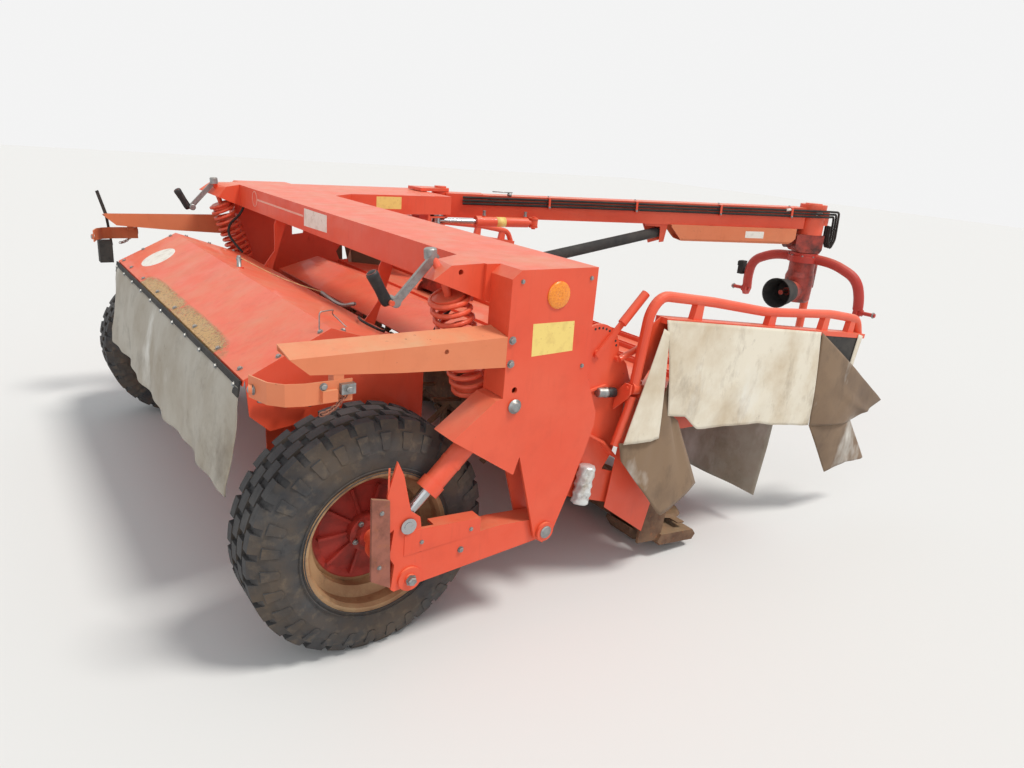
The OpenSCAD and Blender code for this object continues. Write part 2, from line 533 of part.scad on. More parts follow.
// Upper gearbox, swivel yoke and lower gearbox on the swivel's axis.
sw = [hinge_x + drawbar_l * cos(drawbar_swing), hinge_y - drawbar_l * sin(drawbar_swing)];
module at_swivel() translate([sw[0], sw[1], 0]) rotate([0, 0, hitch_turn]) children();
spigot_r = 70;
yoke_low = 1005;
yoke_high = 1074;
module upper_gearbox() color(paint) placed() translate([sw[0], sw[1], 0]) rotate([0, 0, -drawbar_swing]) {
  across(-86, 86) polygon([[-130, 1120], [-130, 1196], [-112, gearbox_top], [84, gearbox_top], [84, gearbox_low + 26],
    [70, gearbox_low], [-86, gearbox_low]]);
  bar_z(0, 0, gearbox_low - 1, 24, 96);
  bar_z(0, 0, yoke_low, gearbox_low - yoke_low + 1, spigot_r);
  translate([-129, 0, 1150]) rotate([0, -90, 0]) cylinder(r = 46, h = 46);
}
pin_ahead = -70;
pin_splay = 1;
pin_z = 706;
module swivel_yoke() color(paint) placed() at_swivel() {
  difference() {
    union() {
      bar_z(0, 0, yoke_low, yoke_high - yoke_low - 24, 112);
      bar_z(0, 0, yoke_low, yoke_high - yoke_low, 100);
    }
    bar_z(0, 0, yoke_low - 1, 100, spigot_r + 0.05);
  }
  for (s = [-1, 1]) {
    pipe(rounded([[0, s * 98, 1036], [0, s * 240, 1026], [-20, s * (hitch_half - 60), 950], [-52, s * (hitch_half - 20), 820],
      [pin_ahead, s * (hitch_half - 20), pin_z + 20]], 74), 36, [1, 0, 0]);
    across_at(s * (hitch_half - 20) - 14, s * (hitch_half - 20) + 14) polygon([[pin_ahead - 46, pin_z + 44], [pin_ahead + 40, pin_z + 44],
      [pin_ahead + 52, pin_z - 10], [pin_ahead + 24, pin_z - 44], [pin_ahead - 24, pin_z - 44], [pin_ahead - 52, pin_z]]);
    translate([pin_ahead, s * hitch_half, pin_z]) rotate([-s * 90, 0, 0]) rotate([0, pin_splay, 0]) {
      translate([0, 0, -44]) cylinder(r = hitch_pin_r, h = 154);
      translate([0, 0, -7]) cylinder(r = 24, h = 27);
    }
  }
}
module across_at(low, high) translate([0, high, 0]) rotate([90, 0, 0]) linear_extrude(high - low) children();
module lower_gearbox() color(paint) placed() at_swivel() {
  difference() {
    union() {
      rotate_extrude_at(705) polygon([[0, 0], [84, 0], [100, 20], [104, 190], [92, 225], [92, yoke_low - 705.3], [0, yoke_low - 705.3]]);
      rod([20, 0, input_z], [150, 0, input_z], 76);
      bar_z(stand_x, 0, 800, 180, 42);
      box([stand_x, -14, 820], [-80, 14, 960]);
    }
    bar_z(stand_x, 0, 700, 400, stand_r + 0.05);
  }
  rod([149, 0, input_z], [170, 0, input_z], 30);
  rod([169, 0, input_z], [260, 0, input_z], input_r);
}
module rotate_extrude_at(z) translate([0, 0, z]) rotate_extrude() children();
input_r = 17.45;
input_z = 790;
module shaft_bell() color(dark) placed() at_swivel() {
  translate([150.3, 0, input_z]) rotate([0, 90, 0]) rotate_extrude() polygon([[30.3, 0], [80, 0], [84, 6], [92, 70],
    [96, 74], [106, 168], [109, 172], [109, 180], [104, 180], [101, 168], [91, 78], [78, 6], [30.3, 6]]);
}
module parking_stand() color(paint) placed() at_swivel() {
  bar_z(stand_x, 0, 11, 1000, stand_r);
  bar_z(stand_x, 0, 980, 40, stand_r + 8);
  box([stand_x - 70, -foot_half, 0], [stand_x + 70, foot_half, 12]);
  for (a = [0, 90]) translate([stand_x, 0, 0]) rotate([0, 0, a]) across(-4, 4) polygon([[-66, 11], [66, 11], [28, 60], [-28, 60]]);
}

// Plates that carry the cutting unit on the legs, with the height lever on its toothed quadrant.
module unit_hanger(side) color(paint) placed() sided(side) {
  y = -leg_in - leg_plate;
  difference() {
    union() {
      across(y - 12, y - 0.3) polygon([[372.4, 1010], [470, 1022], [600, 985], [660, 930], [700, 840], [760, 846], [770, 800],
        [690, 700], [640, 560], [600, 500], [1000, 350], [1000, 220], [430, 420], [361, 522], [403, 634.6], [436.9, 745.8], [438.5, 800], [372.4, 951]]);
      across(y - 12, y - 0.3) polygon(quadrant);
      across(y - 22, y - 0.3) polygon([[440, 842], [560, 860], [640, 800], [632, 794], [558, 852], [440, 834]]);
      across(y - 48, y - 0.3) polygon([[450, 700], [560, 640], [640, 560], [634, 554], [555, 632], [450, 690]]);
      rod([520, y - 26, 836], [598, y - 26, 826], 17);
    }
    translate([unit_x, 0, unit_z]) rotate([0, unit_tilt, 0]) union() {
      box([-66.4, -half_w, -200], [500, 0, 4.3]);
      box([-60.3, -half_w, 0], [-55.7, 0, 14.3]);
    }
  }
  rod([500, y - 20, 985], [500, y + 4, 985], 16);
  translate([500, y - 18, 985]) rotate([0, 44, 0]) {
    box([-12, -5, -10], [12, 5, 170]);
    translate([0, 0, 150]) cylinder(r = 17, h = 150);
  }
  rod([600, y - 30, 958], [714, y - 30, 998], 12);
  rod([600, y - 30, 958], [600, y - 2, 958], 10);
}
quadrant = concat([[440, 960], [500, 900]], [for (a = [-20 : 10 : 110]) [500, 985] + 112 * [cos(a), sin(a)]]);

// Hydraulic hoses along the drawbar's side, each in a hanging loop at its tip: height on the bar, place across.
hose_lanes = [[62, -44], [42, -14], [22, 16]];
hose_r = 8;
module drawbar_hoses() color(dark) placed() on_bar() for (lane = hose_lanes)
  pipe(rounded([[150, -90, lane[0]], [740, -92, lane[0] + 20], [1360, -92, lane[0] + 40], [1980, -92, lane[0] + 58],
    [2640, -96, lane[0] + 78], [2790, -116, lane[0] + 84], [2926, lane[1], lane[0] + 80], [2936, lane[1], -60],
    [2908, lane[1], -130], [2880, lane[1], -60], [2878, lane[1], 39]], 26, 4), hose_r, [0, 0.6, 0.8], 8);

// The cutting unit has its own frame: X forward along its roof, Z square to the roof.
hem_r = 6;
fold_pin_r = 8;
hem_z = guard_rise - 28;
fold_x = [-104, 900];
fold_y = half_w - 30;
unit_x = 750;
unit_z = 820;
module unit() translate([unit_x, 0, unit_z]) rotate([0, unit_tilt, 0]) children();
roof_l = 930;
unit_inset = 80;
side_y = half_w - unit_inset;
house_half = 1100;
skid_in = leg_in + leg_plate + 12.3;
module end_plates(inner, outer) for (s = [-1, 1]) across_at(min(s * inner, s * outer), max(s * inner, s * outer)) children();
module canopy() color(paint) placed() unit() {
  across(-side_y, side_y) polygon([[-60, 0], [-60, 14], [-56, 14], [-56, 4], [roof_l, 4], [roof_l + 24, -14], [roof_l + 24, -60],
    [roof_l + 20, -60], [roof_l + 18, -16], [roof_l - 4, -0.5], [-56, -0.5]]);
  end_plates(side_y - 4, side_y)
    polygon([[-60, 0], [roof_l, 0], [roof_l, -120], [250, -180], [200, -640], [-60, -500]]);
  for (s = [320, 560, 800]) across(-side_y + 3, side_y - 3) polygon([[s, 3], [s, 24], [s + 5, 24], [s + 5, 10], [s + 44, 10],
    [s + 44, 24], [s + 49, 24], [s + 49, 3]]);
  for (s = [-1, 1], x = fold_x, e = [-35, 27]) translate([x + e, 0, 0]) rotate([90, 0, 90]) linear_extrude(8) difference() {
    polygon([[s * (side_y - 2), -60], [s * (side_y - 2), -10], [s * (fold_y - 16), 36], [s * (fold_y + 16), 36], [s * (fold_y + 18), 0],
      [s * (fold_y + 6), -20], [s * side_y, -80]]);
    translate([s * fold_y, 20]) circle(r = fold_pin_r + 0.05);
  }
  for (s = [-1, 1]) pipe(rounded([[-137, s * fold_y, -210], [-106, s * fold_y, -60], [fold_x[0], s * fold_y, -12]], 30), 18, [0, 1, 0]);
  for (s = [-1, 1]) rod([-112, s * fold_y, -80], [-50, s * (side_y - 1), -80], 14);
}
module conditioner_housing() color(paint) placed() {
  unit() {
    across(-house_half, house_half) polygon([[-60.3, 0], [-330, 60], [-560, -40], [-556, -46], [-330, 54], [-60.3, -6]]);
    difference() {
      end_plates(house_half - 8, house_half)
        polygon([[-60.3, -1], [-330, 57], [-560, -42], [-500, -300], [-200, -560], [-60.3, -500]]);
      bar_y(rotor_x, rotor_z, rotor_shaft_r + 0.05, -house_half - 20, house_half + 20);
    }
    end_plates(house_half - 1, side_y - 2)
      polygon([[-60.3, -1], [-60.3, -60], [-66, -60], [-66, -1]]);
  }
  for (s = [-1, 1]) across_at(s * spring_y - 9, s * spring_y + 9)
    polygon([[688, 822], [688, 772], [140, 690], [40, 720], [26, 800], [74, 800], [110, 766], [150, 756]]);
}
rotor_x = -150;
rotor_z = -330;
rotor_shaft_r = 30;
module conditioner_rotor() color(dark) placed() unit() {
  bar_y(rotor_x, rotor_z, rotor_r, 15 - house_half, house_half - 15);
  bar_y(rotor_x, rotor_z, rotor_shaft_r, -house_half - 4, house_half + 4);
  for (i = [0 : tine_rows - 1], k = [0 : 3]) {
    y = (house_half - 80) * (2 * i / (tine_rows - 1) - 1);
    a = k * 90 + (i % 2) * 45;
    translate([rotor_x, y, rotor_z]) rotate([0, a, 0]) box([-6, -15, rotor_r - 4], [6, 15, tine_reach]);
  }
}
bar_z0 = -690;
module cutterbar() color(steel) placed() unit() {
  across(-side_y - 10, side_y + 10) polygon([[330, bar_z0 - 30], [316, bar_z0 - 10], [330, bar_z0 + 20], [540, bar_z0 + 20], [566, bar_z0 - 4], [550, bar_z0 - 30]]);
  for (i = [0 : discs - 1]) {
    bar_z(disc_x, disc_y(i), bar_z0 + 19, 30, 60);
    across(disc_y(i) - 75, disc_y(i) + 75) polygon([[290, bar_z0 - 12], [330, bar_z0 - 29], [548, bar_z0 - 29], [590, bar_z0 - 8],
      [606, bar_z0 - 14], [584, bar_z0 - 46], [520, bar_z0 - 69], [400, bar_z0 - 84], [330, bar_z0 - 76], [286, bar_z0 - 30]]);
  }
  end_plates(skid_in, side_y - 4)
    polygon([[200, bar_z0 - 10], [340, bar_z0 - 10], [340, -420], [250, -190], [180, -190]]);
}
disc_x = 480;
function disc_y(i) = (i - (discs - 1) / 2) * disc_pitch;
module disc(i) color(rust) placed() unit() translate([disc_x, disc_y(i), bar_z0 + 49.5]) rotate([0, 0, (i % 2) * 90]) {
  scale([0.86, 1, 1]) cylinder(r1 = disc_r, r2 = disc_r - 14, h = 12);
  translate([0, 0, 11]) cylinder(r1 = 84, r2 = 50, h = 30);
  translate([0, 0, 40]) cylinder(r = 26, h = 14);
  for (s = [-1, 1]) translate([0, s * (disc_r - 20), 4]) box([-22, s < 0 ? -(knife_r - disc_r + 20) : 0, -9], [22, s < 0 ? 0 : knife_r - disc_r + 20, -3]);
}
module unit_gearbox() color(paint) placed() unit() {
  across(250, 470) polygon([[60, 24.3], [60, 150], [96, 190], [226, 190], [262, 150], [262, 24.3]]);
  for (y = [240, 470]) across(y, y + 10) polygon([[40, 4.3], [282, 4.3], [282, 24], [262, 60], [60, 60], [40, 24]]);
  rod([250, 360, 100], [270, 360, 102], 60);
  rod([268, 360, 100], [300, 360, 108], 22);
  bar_y(160, 120, 70, 230, 250);
}
module front_curtain() color(cloth) placed() unit() {
  across(-side_y, side_y) polygon([[roof_l + 24.3, -16], [roof_l + 30, -16], [roof_l + 44, -300], [roof_l + 38, -560], [roof_l + 33, -560],
    [roof_l + 39, -300]]);
}
module guard_hoop(side) color(paint) placed() unit() sided(side) {
  y = -fold_y;
  pipe(rounded([[fold_x[0], y, 20], [-111, y, 314], [-66, y, guard_rise + 78], [240, y, guard_rise + 74], [600, y, guard_rise + 56],
    [1100, y, guard_rise + 76], [1340, y, guard_rise + 66], [1385, y, guard_rise - 4]], 40, 5), 20, [0, 1, 0]);
  for (x = fold_x) difference() {
    union() {
      translate([x - 20, y, 20]) rotate([0, 90, 0]) cylinder(r = 24, h = 40);
      if (x > 0) bar_z(x, y, 20, guard_rise - 30, 12);
      translate([x - 41, y, 20]) rotate([0, 90, 0]) cylinder(r = fold_pin_r, h = 82);
    }
  }
  box([-40, -half_w, hem_z + hem_r + 0.4], [1402, -half_w + 60, guard_rise]);
  box([-40, -half_w + 50, guard_rise - 70], [1402, -half_w + 60, guard_rise - 1]);
  for (x = [150, 640, 1060, 1290]) across(y - 14, y + 14) polygon([[x - 26, guard_rise - 2], [x - 20, guard_rise + 66], [x + 20, guard_rise + 66], [x + 26, guard_rise - 2]]);
  across(y + 4, y + 9) polygon([[-40, guard_rise - 1], [57, guard_rise - 1], [20, 200], [-60, 48], [-104, 66], [-100, 250]]);
}
module side_curtain(side) color(cloth) placed() unit() sided(side) {
  y = -half_w;
  translate([-40, y + hem_r, hem_z]) rotate([0, 90, 0]) cylinder(r = hem_r, h = 1442);
  across(y, y + 5) polygon([[-40, hem_z], [1040, hem_z], [1126, -158], [900, -140], [697, -136], [280, -144],
    [191, -89], [90, -86]]);
  across(y, y + 5) polygon([[-39, hem_z], [-6, 140], [53, -173], [-132, -188], [-90, 40]]);
  across(y, y + 5) polygon([[50, -150], [280, -140], [362, -391], [206, -491], [153, -512], [-100, -267], [-130, -185]]);
  across(y, y + 5) polygon([[1030, hem_z], [1402, hem_z], [1440, 80], [1500, -60], [1440, -200], [1430, -380], [1300, -420],
    [1200, -330], [1120, -150]]);
}

main_beam();
end_leg(-1);  // end_leg_near
end_leg(1);  // end_leg_far
light_arm(-1);  // light_arm_near
light_arm(1);  // light_arm_far
light_lamp();
unit_hanger(-1);  // unit_hanger_near
unit_hanger(1);  // unit_hanger_far
rear_hood();
rear_canvas();
swath_board(-1);  // swath_board_near
swath_board(1);  // swath_board_far
spring(-1);  // spring_near
spring(1);  // spring_far
spring_hanger(-1);  // spring_hanger_near
spring_hanger(1);  // spring_hanger_far
wheel_arm(-1);  // wheel_arm_near
wheel_arm(1);  // wheel_arm_far
tyre(-1);  // tyre_near
tyre(1);  // tyre_far
rim(-1);  // rim_near
rim(1);  // rim_far
lift_barrel(-1);  // lift_barrel_near
lift_barrel(1);  // lift_barrel_far
lift_rod(-1);  // lift_rod_near
lift_rod(1);  // lift_rod_far
drawbar();
drawbar_hoses();
shaft_guard();
swing_barrel();
swing_rod();
drive_shaft_outer();
drive_shaft_inner();
upper_gearbox();
swivel_yoke();
lower_gearbox();
shaft_bell();
parking_stand();
canopy();
conditioner_housing();
conditioner_rotor();
cutterbar();
unit_gearbox();
disc(0);  // disc_1
disc(1);  // disc_2
disc(2);  // disc_3
disc(3);  // disc_4
disc(4);  // disc_5
disc(5);  // disc_6
disc(6);  // disc_7
guard_hoop(-1);  // guard_hoop_near
guard_hoop(1);  // guard_hoop_far
side_curtain(-1);  // side_curtain_near
side_curtain(1);  // side_curtain_far
front_curtain();
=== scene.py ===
"""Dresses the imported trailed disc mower: camera, hoses, materials, cloth and small trim."""

import math

import bmesh
import bpy
from mathutils import Matrix, Vector


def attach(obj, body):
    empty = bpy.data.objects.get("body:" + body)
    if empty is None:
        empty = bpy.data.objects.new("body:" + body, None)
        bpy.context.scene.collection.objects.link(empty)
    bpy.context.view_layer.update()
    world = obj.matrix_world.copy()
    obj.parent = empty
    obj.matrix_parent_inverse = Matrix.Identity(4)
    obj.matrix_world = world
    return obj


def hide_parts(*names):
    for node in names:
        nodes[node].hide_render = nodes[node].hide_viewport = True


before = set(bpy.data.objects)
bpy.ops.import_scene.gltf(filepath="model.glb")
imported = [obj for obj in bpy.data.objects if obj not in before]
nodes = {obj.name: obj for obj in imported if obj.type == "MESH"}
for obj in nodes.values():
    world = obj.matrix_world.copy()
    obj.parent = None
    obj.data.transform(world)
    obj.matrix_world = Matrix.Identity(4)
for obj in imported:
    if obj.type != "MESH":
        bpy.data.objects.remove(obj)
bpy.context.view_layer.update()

# Sizes shared with the source, in millimetres ahead of the beam's rear face.
MID_X = 1625.3
HALF_W = 1500.0
BEAM_TOP = 1326.0
AXLE = (-352.0, 418.0)
WHEEL_OUT = -1385.0
TYRE_W = 268.0
HINGE = (1340.0, 1200.0)
BAR_BASE = BEAM_TOP - 85.0
BAR_SWING = math.radians(27.5)
BAR_RISE = math.radians(1.8)
BAR_L = 2740.0
HITCH_TURN = math.radians(188.0)
UNIT = (750.0, 820.0)
UNIT_TILT = math.radians(7.2)
GUARD_RISE = 300.0
HOOD_HALF = 1075.0
ROOF_L = 930.0
SIDE_Y = 1420.0
HOOD_RIDGE = (-390, 1070)
CLIP_PLACES = (740, 1360, 1980, 2520)


def at(x, y, z):
    """A point of the machine, in the frame's metres."""
    return Vector(((x - MID_X) / 1000, y / 1000, z / 1000))


def on_unit(x, y, z):
    """A point of the cutting unit's own tilted frame."""
    c, s = math.cos(UNIT_TILT), math.sin(UNIT_TILT)
    return at(UNIT[0] + x * c + z * s, y, UNIT[1] - x * s + z * c)


def on_bar(s, y, z, rise=0.0):
    """A point along the drawbar from its hinge pin."""
    along = s * math.cos(rise) - z * math.sin(rise)
    up = s * math.sin(rise) + z * math.cos(rise)
    c, sn = math.cos(BAR_SWING), math.sin(BAR_SWING)
    return at(HINGE[0] + along * c + y * sn, HINGE[1] - along * sn + y * c, BAR_BASE + up)


def on_swivel(x, y, z):
    """A point of the turned hitch, from the swivel's axis."""
    c, s = math.cos(HITCH_TURN), math.sin(HITCH_TURN)
    sx = HINGE[0] + BAR_L * math.cos(BAR_SWING)
    sy = HINGE[1] - BAR_L * math.sin(BAR_SWING)
    return at(sx + x * c - y * s, sy + x * s + y * c, z)


def turns(count):
    """Angles that divide a full turn into equal steps."""
    return [2 * math.pi * k / count for k in range(count)]


def rear_slope_z(x):
    """Height of the hood's rear slope, in millimetres."""
    return HOOD_RIDGE[1] + (x - HOOD_RIDGE[0]) * 0.5


def front_slope_z(x):
    """Height of the hood's front slope, in millimetres."""
    return HOOD_RIDGE[1] - (x - HOOD_RIDGE[0]) / 3


# Camera, solved from the photo and given in the machine's own axes.
CAMERA_PLACE = (-1338.55, -3337.38, 1712.28)
LOOK = Vector((0.57289934, 0.75776877, -0.31236651))
CAMERA_UP = Vector((0.11995894, 0.29948433, 0.94652997))
camera_data = bpy.data.cameras.new("camera")
camera_data.sensor_width = 36.0
camera_data.lens = 26.27
camera_data.clip_start = 0.05
camera_data.clip_end = 200.0
camera = bpy.data.objects.new("camera", camera_data)
right = LOOK.cross(CAMERA_UP)
turn = Matrix((right, CAMERA_UP, -LOOK)).transposed().to_4x4()
camera.matrix_world = Matrix.Translation(at(*CAMERA_PLACE)) @ turn
bpy.context.scene.collection.objects.link(camera)
bpy.context.scene.camera = camera


def link(name, data):
    obj = bpy.data.objects.new(name, data)
    bpy.context.scene.collection.objects.link(obj)
    return obj


# Hoses along the drawbar, each hanging in a loop at its tip.
HOSE_LANES = ((62.0, -44.0), (42.0, -14.0), (22.0, 16.0))
HOSE_R = 8.0
HOSE_SIDE = -92


def rounded(points, cut, steps):
    """The path with its corners rounded, as the source does it."""
    out = [points[0]]
    for i in range(1, len(points) - 1):
        a, b, c = points[i - 1], points[i], points[i + 1]
        before = b + (a - b).normalized() * min(cut, (a - b).length / 2)
        after = b + (c - b).normalized() * min(cut, (c - b).length / 2)
        for k in range(steps + 1):
            t = k / steps
            out.append(before * (1 - t) ** 2 + b * 2 * t * (1 - t) + after * t * t)
    out.append(points[-1])
    return out


def route_length(points):
    return sum((q - p).length for p, q in zip(points, points[1:]))


def wire(name, points, radius, body, closed=False):
    """A round bar, pipe or hose along a path, as a curve."""
    data = bpy.data.curves.new(name, "CURVE")
    data.dimensions = "3D"
    data.bevel_depth = radius / 1000
    data.bevel_resolution = 3
    data.use_fill_caps = True
    spline = data.splines.new("POLY")
    spline.points.add(len(points) - 1)
    for p, q in zip(spline.points, points):
        p.co = (*q, 1.0)
    spline.use_cyclic_u = closed
    obj = link(name, data)
    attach(obj, body)
    return obj


hoses = []
for number, (height, across) in enumerate(HOSE_LANES):
    path = [
        Vector((150, -90, height)),
        Vector((CLIP_PLACES[0], HOSE_SIDE, height + 20)),
        Vector((CLIP_PLACES[1], HOSE_SIDE, height + 40)),
        Vector((CLIP_PLACES[2], HOSE_SIDE, height + 58)),
        Vector((2640, -96, height + 78)),
        Vector((2790, -116, height + 84)),
        Vector((2926, across, height + 80)),
        Vector((2936, across, -60)),
        Vector((2908, across, -130)),
        Vector((2880, across, -60)),
        Vector((2878, across, 39)),
    ]
    route = [on_bar(*p) for p in rounded(path, 26, 4)]
    hose = wire(f"hose_{number + 1}", route, HOSE_R, "drawbar")
    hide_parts("drawbar_hoses")
    hoses.append(hose)


# Materials.
def srgb(r, g, b):
    """A colour of the screen, 0 to 255, as the shader's linear values."""
    def linear(v):
        v /= 255
        return v / 12.92 if v <= 0.04045 else ((v + 0.055) / 1.055) ** 2.4
    return (linear(r), linear(g), linear(b), 1.0)


class Shade:
    """One procedural material: layers of colour over a base, then roughness and bump."""

    def __init__(self, name, base, rough=0.5, metal=0.0, coat=0.0, sheen=0.0):
        self.mat = bpy.data.materials.new(name)
        self.mat.use_nodes = True
        self.tree = self.mat.node_tree
        self.shader = self.tree.nodes["Principled BSDF"]
        self.shader.inputs["Roughness"].default_value = rough
        self.shader.inputs["Metallic"].default_value = metal
        self.shader.inputs["Coat Weight"].default_value = coat
        self.shader.inputs["Sheen Weight"].default_value = sheen
        self.shader.inputs["Base Color"].default_value = base
        self.mat.diffuse_color = base
        self.place = self.tree.nodes.new("ShaderNodeTexCoord")
        self.colour = None
        self.base = base
        self.height = None

    def join(self, a, b):
        self.tree.links.new(a, b)

    def noise(self, scale, detail=4.0, rough=0.55, stretch=None):
        tex = self.tree.nodes.new("ShaderNodeTexNoise")
        tex.inputs["Scale"].default_value = scale
        tex.inputs["Detail"].default_value = detail
        tex.inputs["Roughness"].default_value = rough
        source = self.place.outputs["Object"]
        if stretch:
            mapping = self.tree.nodes.new("ShaderNodeMapping")
            mapping.inputs["Scale"].default_value = stretch
            self.join(source, mapping.inputs["Vector"])
            source = mapping.outputs["Vector"]
        self.join(source, tex.inputs["Vector"])
        return tex.outputs["Fac"]

    def window(self, value, low, high):
        """The value stretched so that low becomes 0 and high becomes 1."""
        node = self.tree.nodes.new("ShaderNodeMapRange")
        node.inputs["From Min"].default_value = low
        node.inputs["From Max"].default_value = high
        self.join(value, node.inputs["Value"])
        return node.outputs["Result"]

    def times(self, a, b):
        node = self.tree.nodes.new("ShaderNodeMath")
        node.operation = "MULTIPLY"
        self.join(a, node.inputs[0])
        if isinstance(b, float):
            node.inputs[1].default_value = b
        else:
            self.join(b, node.inputs[1])
        return node.outputs[0]

    def upward(self, low=0.5, high=0.95):
        """1 on faces that look up, 0 on the others."""
        split = self.tree.nodes.new("ShaderNodeSeparateXYZ")
        self.join(self.place.outputs["Normal"], split.inputs[0])
        return self.window(split.outputs["Z"], low, high)

    def axis(self, name, low, high):
        """A ramp along one axis of the frame, between two places in metres."""
        split = self.tree.nodes.new("ShaderNodeSeparateXYZ")
        self.join(self.place.outputs["Object"], split.inputs[0])
        return self.window(split.outputs[name], low, high)

    def layer(self, colour, mask, amount=1.0):
        """Lays a colour over what is there where the mask is 1."""
        mix = self.tree.nodes.new("ShaderNodeMix")
        mix.data_type = "RGBA"
        mix.clamp_factor = True
        self.join(self.times(mask, amount), mix.inputs["Factor"])
        if self.colour is None:
            mix.inputs["A"].default_value = self.base
        else:
            self.join(self.colour, mix.inputs["A"])
        mix.inputs["B"].default_value = colour
        for socket in mix.outputs:
            if socket.type == "RGBA":
                self.colour = socket
        return self

    def roughness(self, mask, low, high):
        node = self.tree.nodes.new("ShaderNodeMapRange")
        node.inputs["To Min"].default_value = low
        node.inputs["To Max"].default_value = high
        self.join(mask, node.inputs["Value"])
        self.join(node.outputs["Result"], self.shader.inputs["Roughness"])
        return self

    def bump(self, height, depth_mm, strength=1.0):
        node = self.tree.nodes.new("ShaderNodeBump")
        node.inputs["Strength"].default_value = strength
        node.inputs["Distance"].default_value = depth_mm / 1000
        self.join(height, node.inputs["Height"])
        if self.height is not None:
            self.join(self.height, node.inputs["Normal"])
        self.height = node.outputs["Normal"]
        return self

    def done(self):
        if self.colour is not None:
            self.join(self.colour, self.shader.inputs["Base Color"])
        if self.height is not None:
            self.join(self.height, self.shader.inputs["Normal"])
        return self.mat


DUST = srgb(196, 172, 132)
RUST = srgb(112, 62, 36)
DARK_RUST = srgb(66, 38, 26)
GREASE = srgb(34, 24, 20)
GRASS_DUST = srgb(186, 150, 92)


def painted(name, base, bleached_and_sunlit, dust=0.35, chips=0.62, rough=0.42):
    """Sun-faded paint, lighter on top as painted sunlight, with dust on its tops and small rust chips."""
    s = Shade(name, base, rough, coat=0.12)
    fade = s.window(s.noise(1.7, 5.0), 0.35, 0.68)
    s.layer(bleached_and_sunlit, fade, 0.45)
    # Faces that look up take the lighter colour: painted sunlight on the tops.
    s.layer(bleached_and_sunlit, s.upward(0.45, 0.98), 0.6)
    blotch = s.window(s.noise(9.0, 6.0, 0.65), 0.5, 0.8)
    s.layer(tuple(0.7 * v for v in base[:3]) + (1.0,), blotch, 0.3)
    dusty = s.times(s.upward(0.55, 0.98), s.window(s.noise(5.0, 8.0, 0.7), 0.42, 0.75))
    s.layer(DUST, dusty, dust)
    chip = s.window(s.noise(46.0, 6.0, 0.72), chips + 0.055, chips + 0.085)
    s.layer(RUST, s.times(chip, s.window(s.noise(2.6, 3.0), 0.44, 0.6)), 0.85)
    streak = s.window(s.noise(14.0, 5.0, 0.6, (3.0, 3.0, 0.35)), 0.58, 0.8)
    s.layer(tuple(0.55 * v for v in base[:3]) + (1.0,), streak, 0.22)
    s.roughness(s.noise(12.0, 5.0), rough - 0.12, rough + 0.25)
    s.bump(s.noise(240.0, 3.0), 0.12, 0.35)
    s.bump(chip, 0.15, 0.5)
    return s


RED = srgb(222, 74, 42)
# The lighter red is sun-faded paint and also the painted sunlight on the tops.
RED_BLEACHED_AND_SUNLIT = srgb(234, 116, 84)
paint = painted("paint", RED, RED_BLEACHED_AND_SUNLIT).done()
hood_shade = painted("hood_paint", RED, RED_BLEACHED_AND_SUNLIT, dust=0.4)
# Husks that lie along the rear edge of the hood, away from its ends.
edge = hood_shade.axis("X", (-604 - MID_X) / 1000, (-662 - MID_X) / 1000)
middle = hood_shade.times(hood_shade.axis("Y", -0.88, -0.55), hood_shade.axis("Y", 0.62, 0.3))
drift = hood_shade.times(hood_shade.times(edge, middle),
                         hood_shade.window(hood_shade.noise(5.0, 6.0), 0.26, 0.46))
litter = hood_shade.window(hood_shade.noise(70.0, 9.0, 0.85), 0.38, 0.5)
husks = hood_shade.window(hood_shade.times(drift, litter), 0.12, 0.3)
hood_shade.layer(GRASS_DUST, husks, 0.95)
hood_shade.layer(srgb(120, 84, 48),
                 hood_shade.times(husks, hood_shade.window(hood_shade.noise(120.0, 5.0), 0.5, 0.62)),
                 0.8)
hood_shade.bump(husks, 4.0, 0.7)
hood_paint = hood_shade.done()
faded_shade = painted("faded_paint", srgb(214, 118, 76), srgb(226, 148, 108), dust=0.5, chips=0.6, rough=0.6)
faded_paint = faded_shade.done()
deep_red = painted("deep_red", srgb(176, 44, 34), srgb(196, 70, 54), dust=0.35, rough=0.5).done()


def greasy():
    s = painted("greasy_casting", srgb(158, 50, 38), srgb(180, 74, 56), dust=0.3, rough=0.45)
    oil = s.window(s.noise(6.0, 7.0, 0.68), 0.42, 0.6)
    s.layer(GREASE, oil, 0.85)
    s.bump(s.noise(38.0, 6.0), 1.2, 0.5)
    return s.done()


def galvanised(name, base=srgb(158, 160, 160), rust=0.35):
    s = Shade(name, base, 0.42, metal=0.85)
    s.layer(srgb(120, 122, 122), s.window(s.noise(60.0, 3.0), 0.4, 0.6), 0.5)
    s.layer(DUST, s.times(s.upward(0.4, 0.9), s.noise(20.0, 6.0)), 0.35)
    s.layer(RUST, s.window(s.noise(34.0, 7.0, 0.7), 0.58, 0.7), rust)
    s.roughness(s.noise(40.0, 4.0), 0.3, 0.6)
    s.bump(s.noise(180.0, 3.0), 0.2, 0.4)
    return s.done()


def rusty(name, base, dark):
    s = Shade(name, base, 0.78)
    s.layer(dark, s.window(s.noise(11.0, 8.0, 0.7), 0.42, 0.66), 0.8)
    s.layer(srgb(164, 100, 60), s.window(s.noise(33.0, 7.0, 0.7), 0.55, 0.75), 0.6)
    s.layer(DUST, s.times(s.upward(0.5, 0.95), s.noise(9.0, 6.0)), 0.5)
    s.bump(s.noise(120.0, 7.0, 0.7), 0.8, 0.5)
    return s.done()


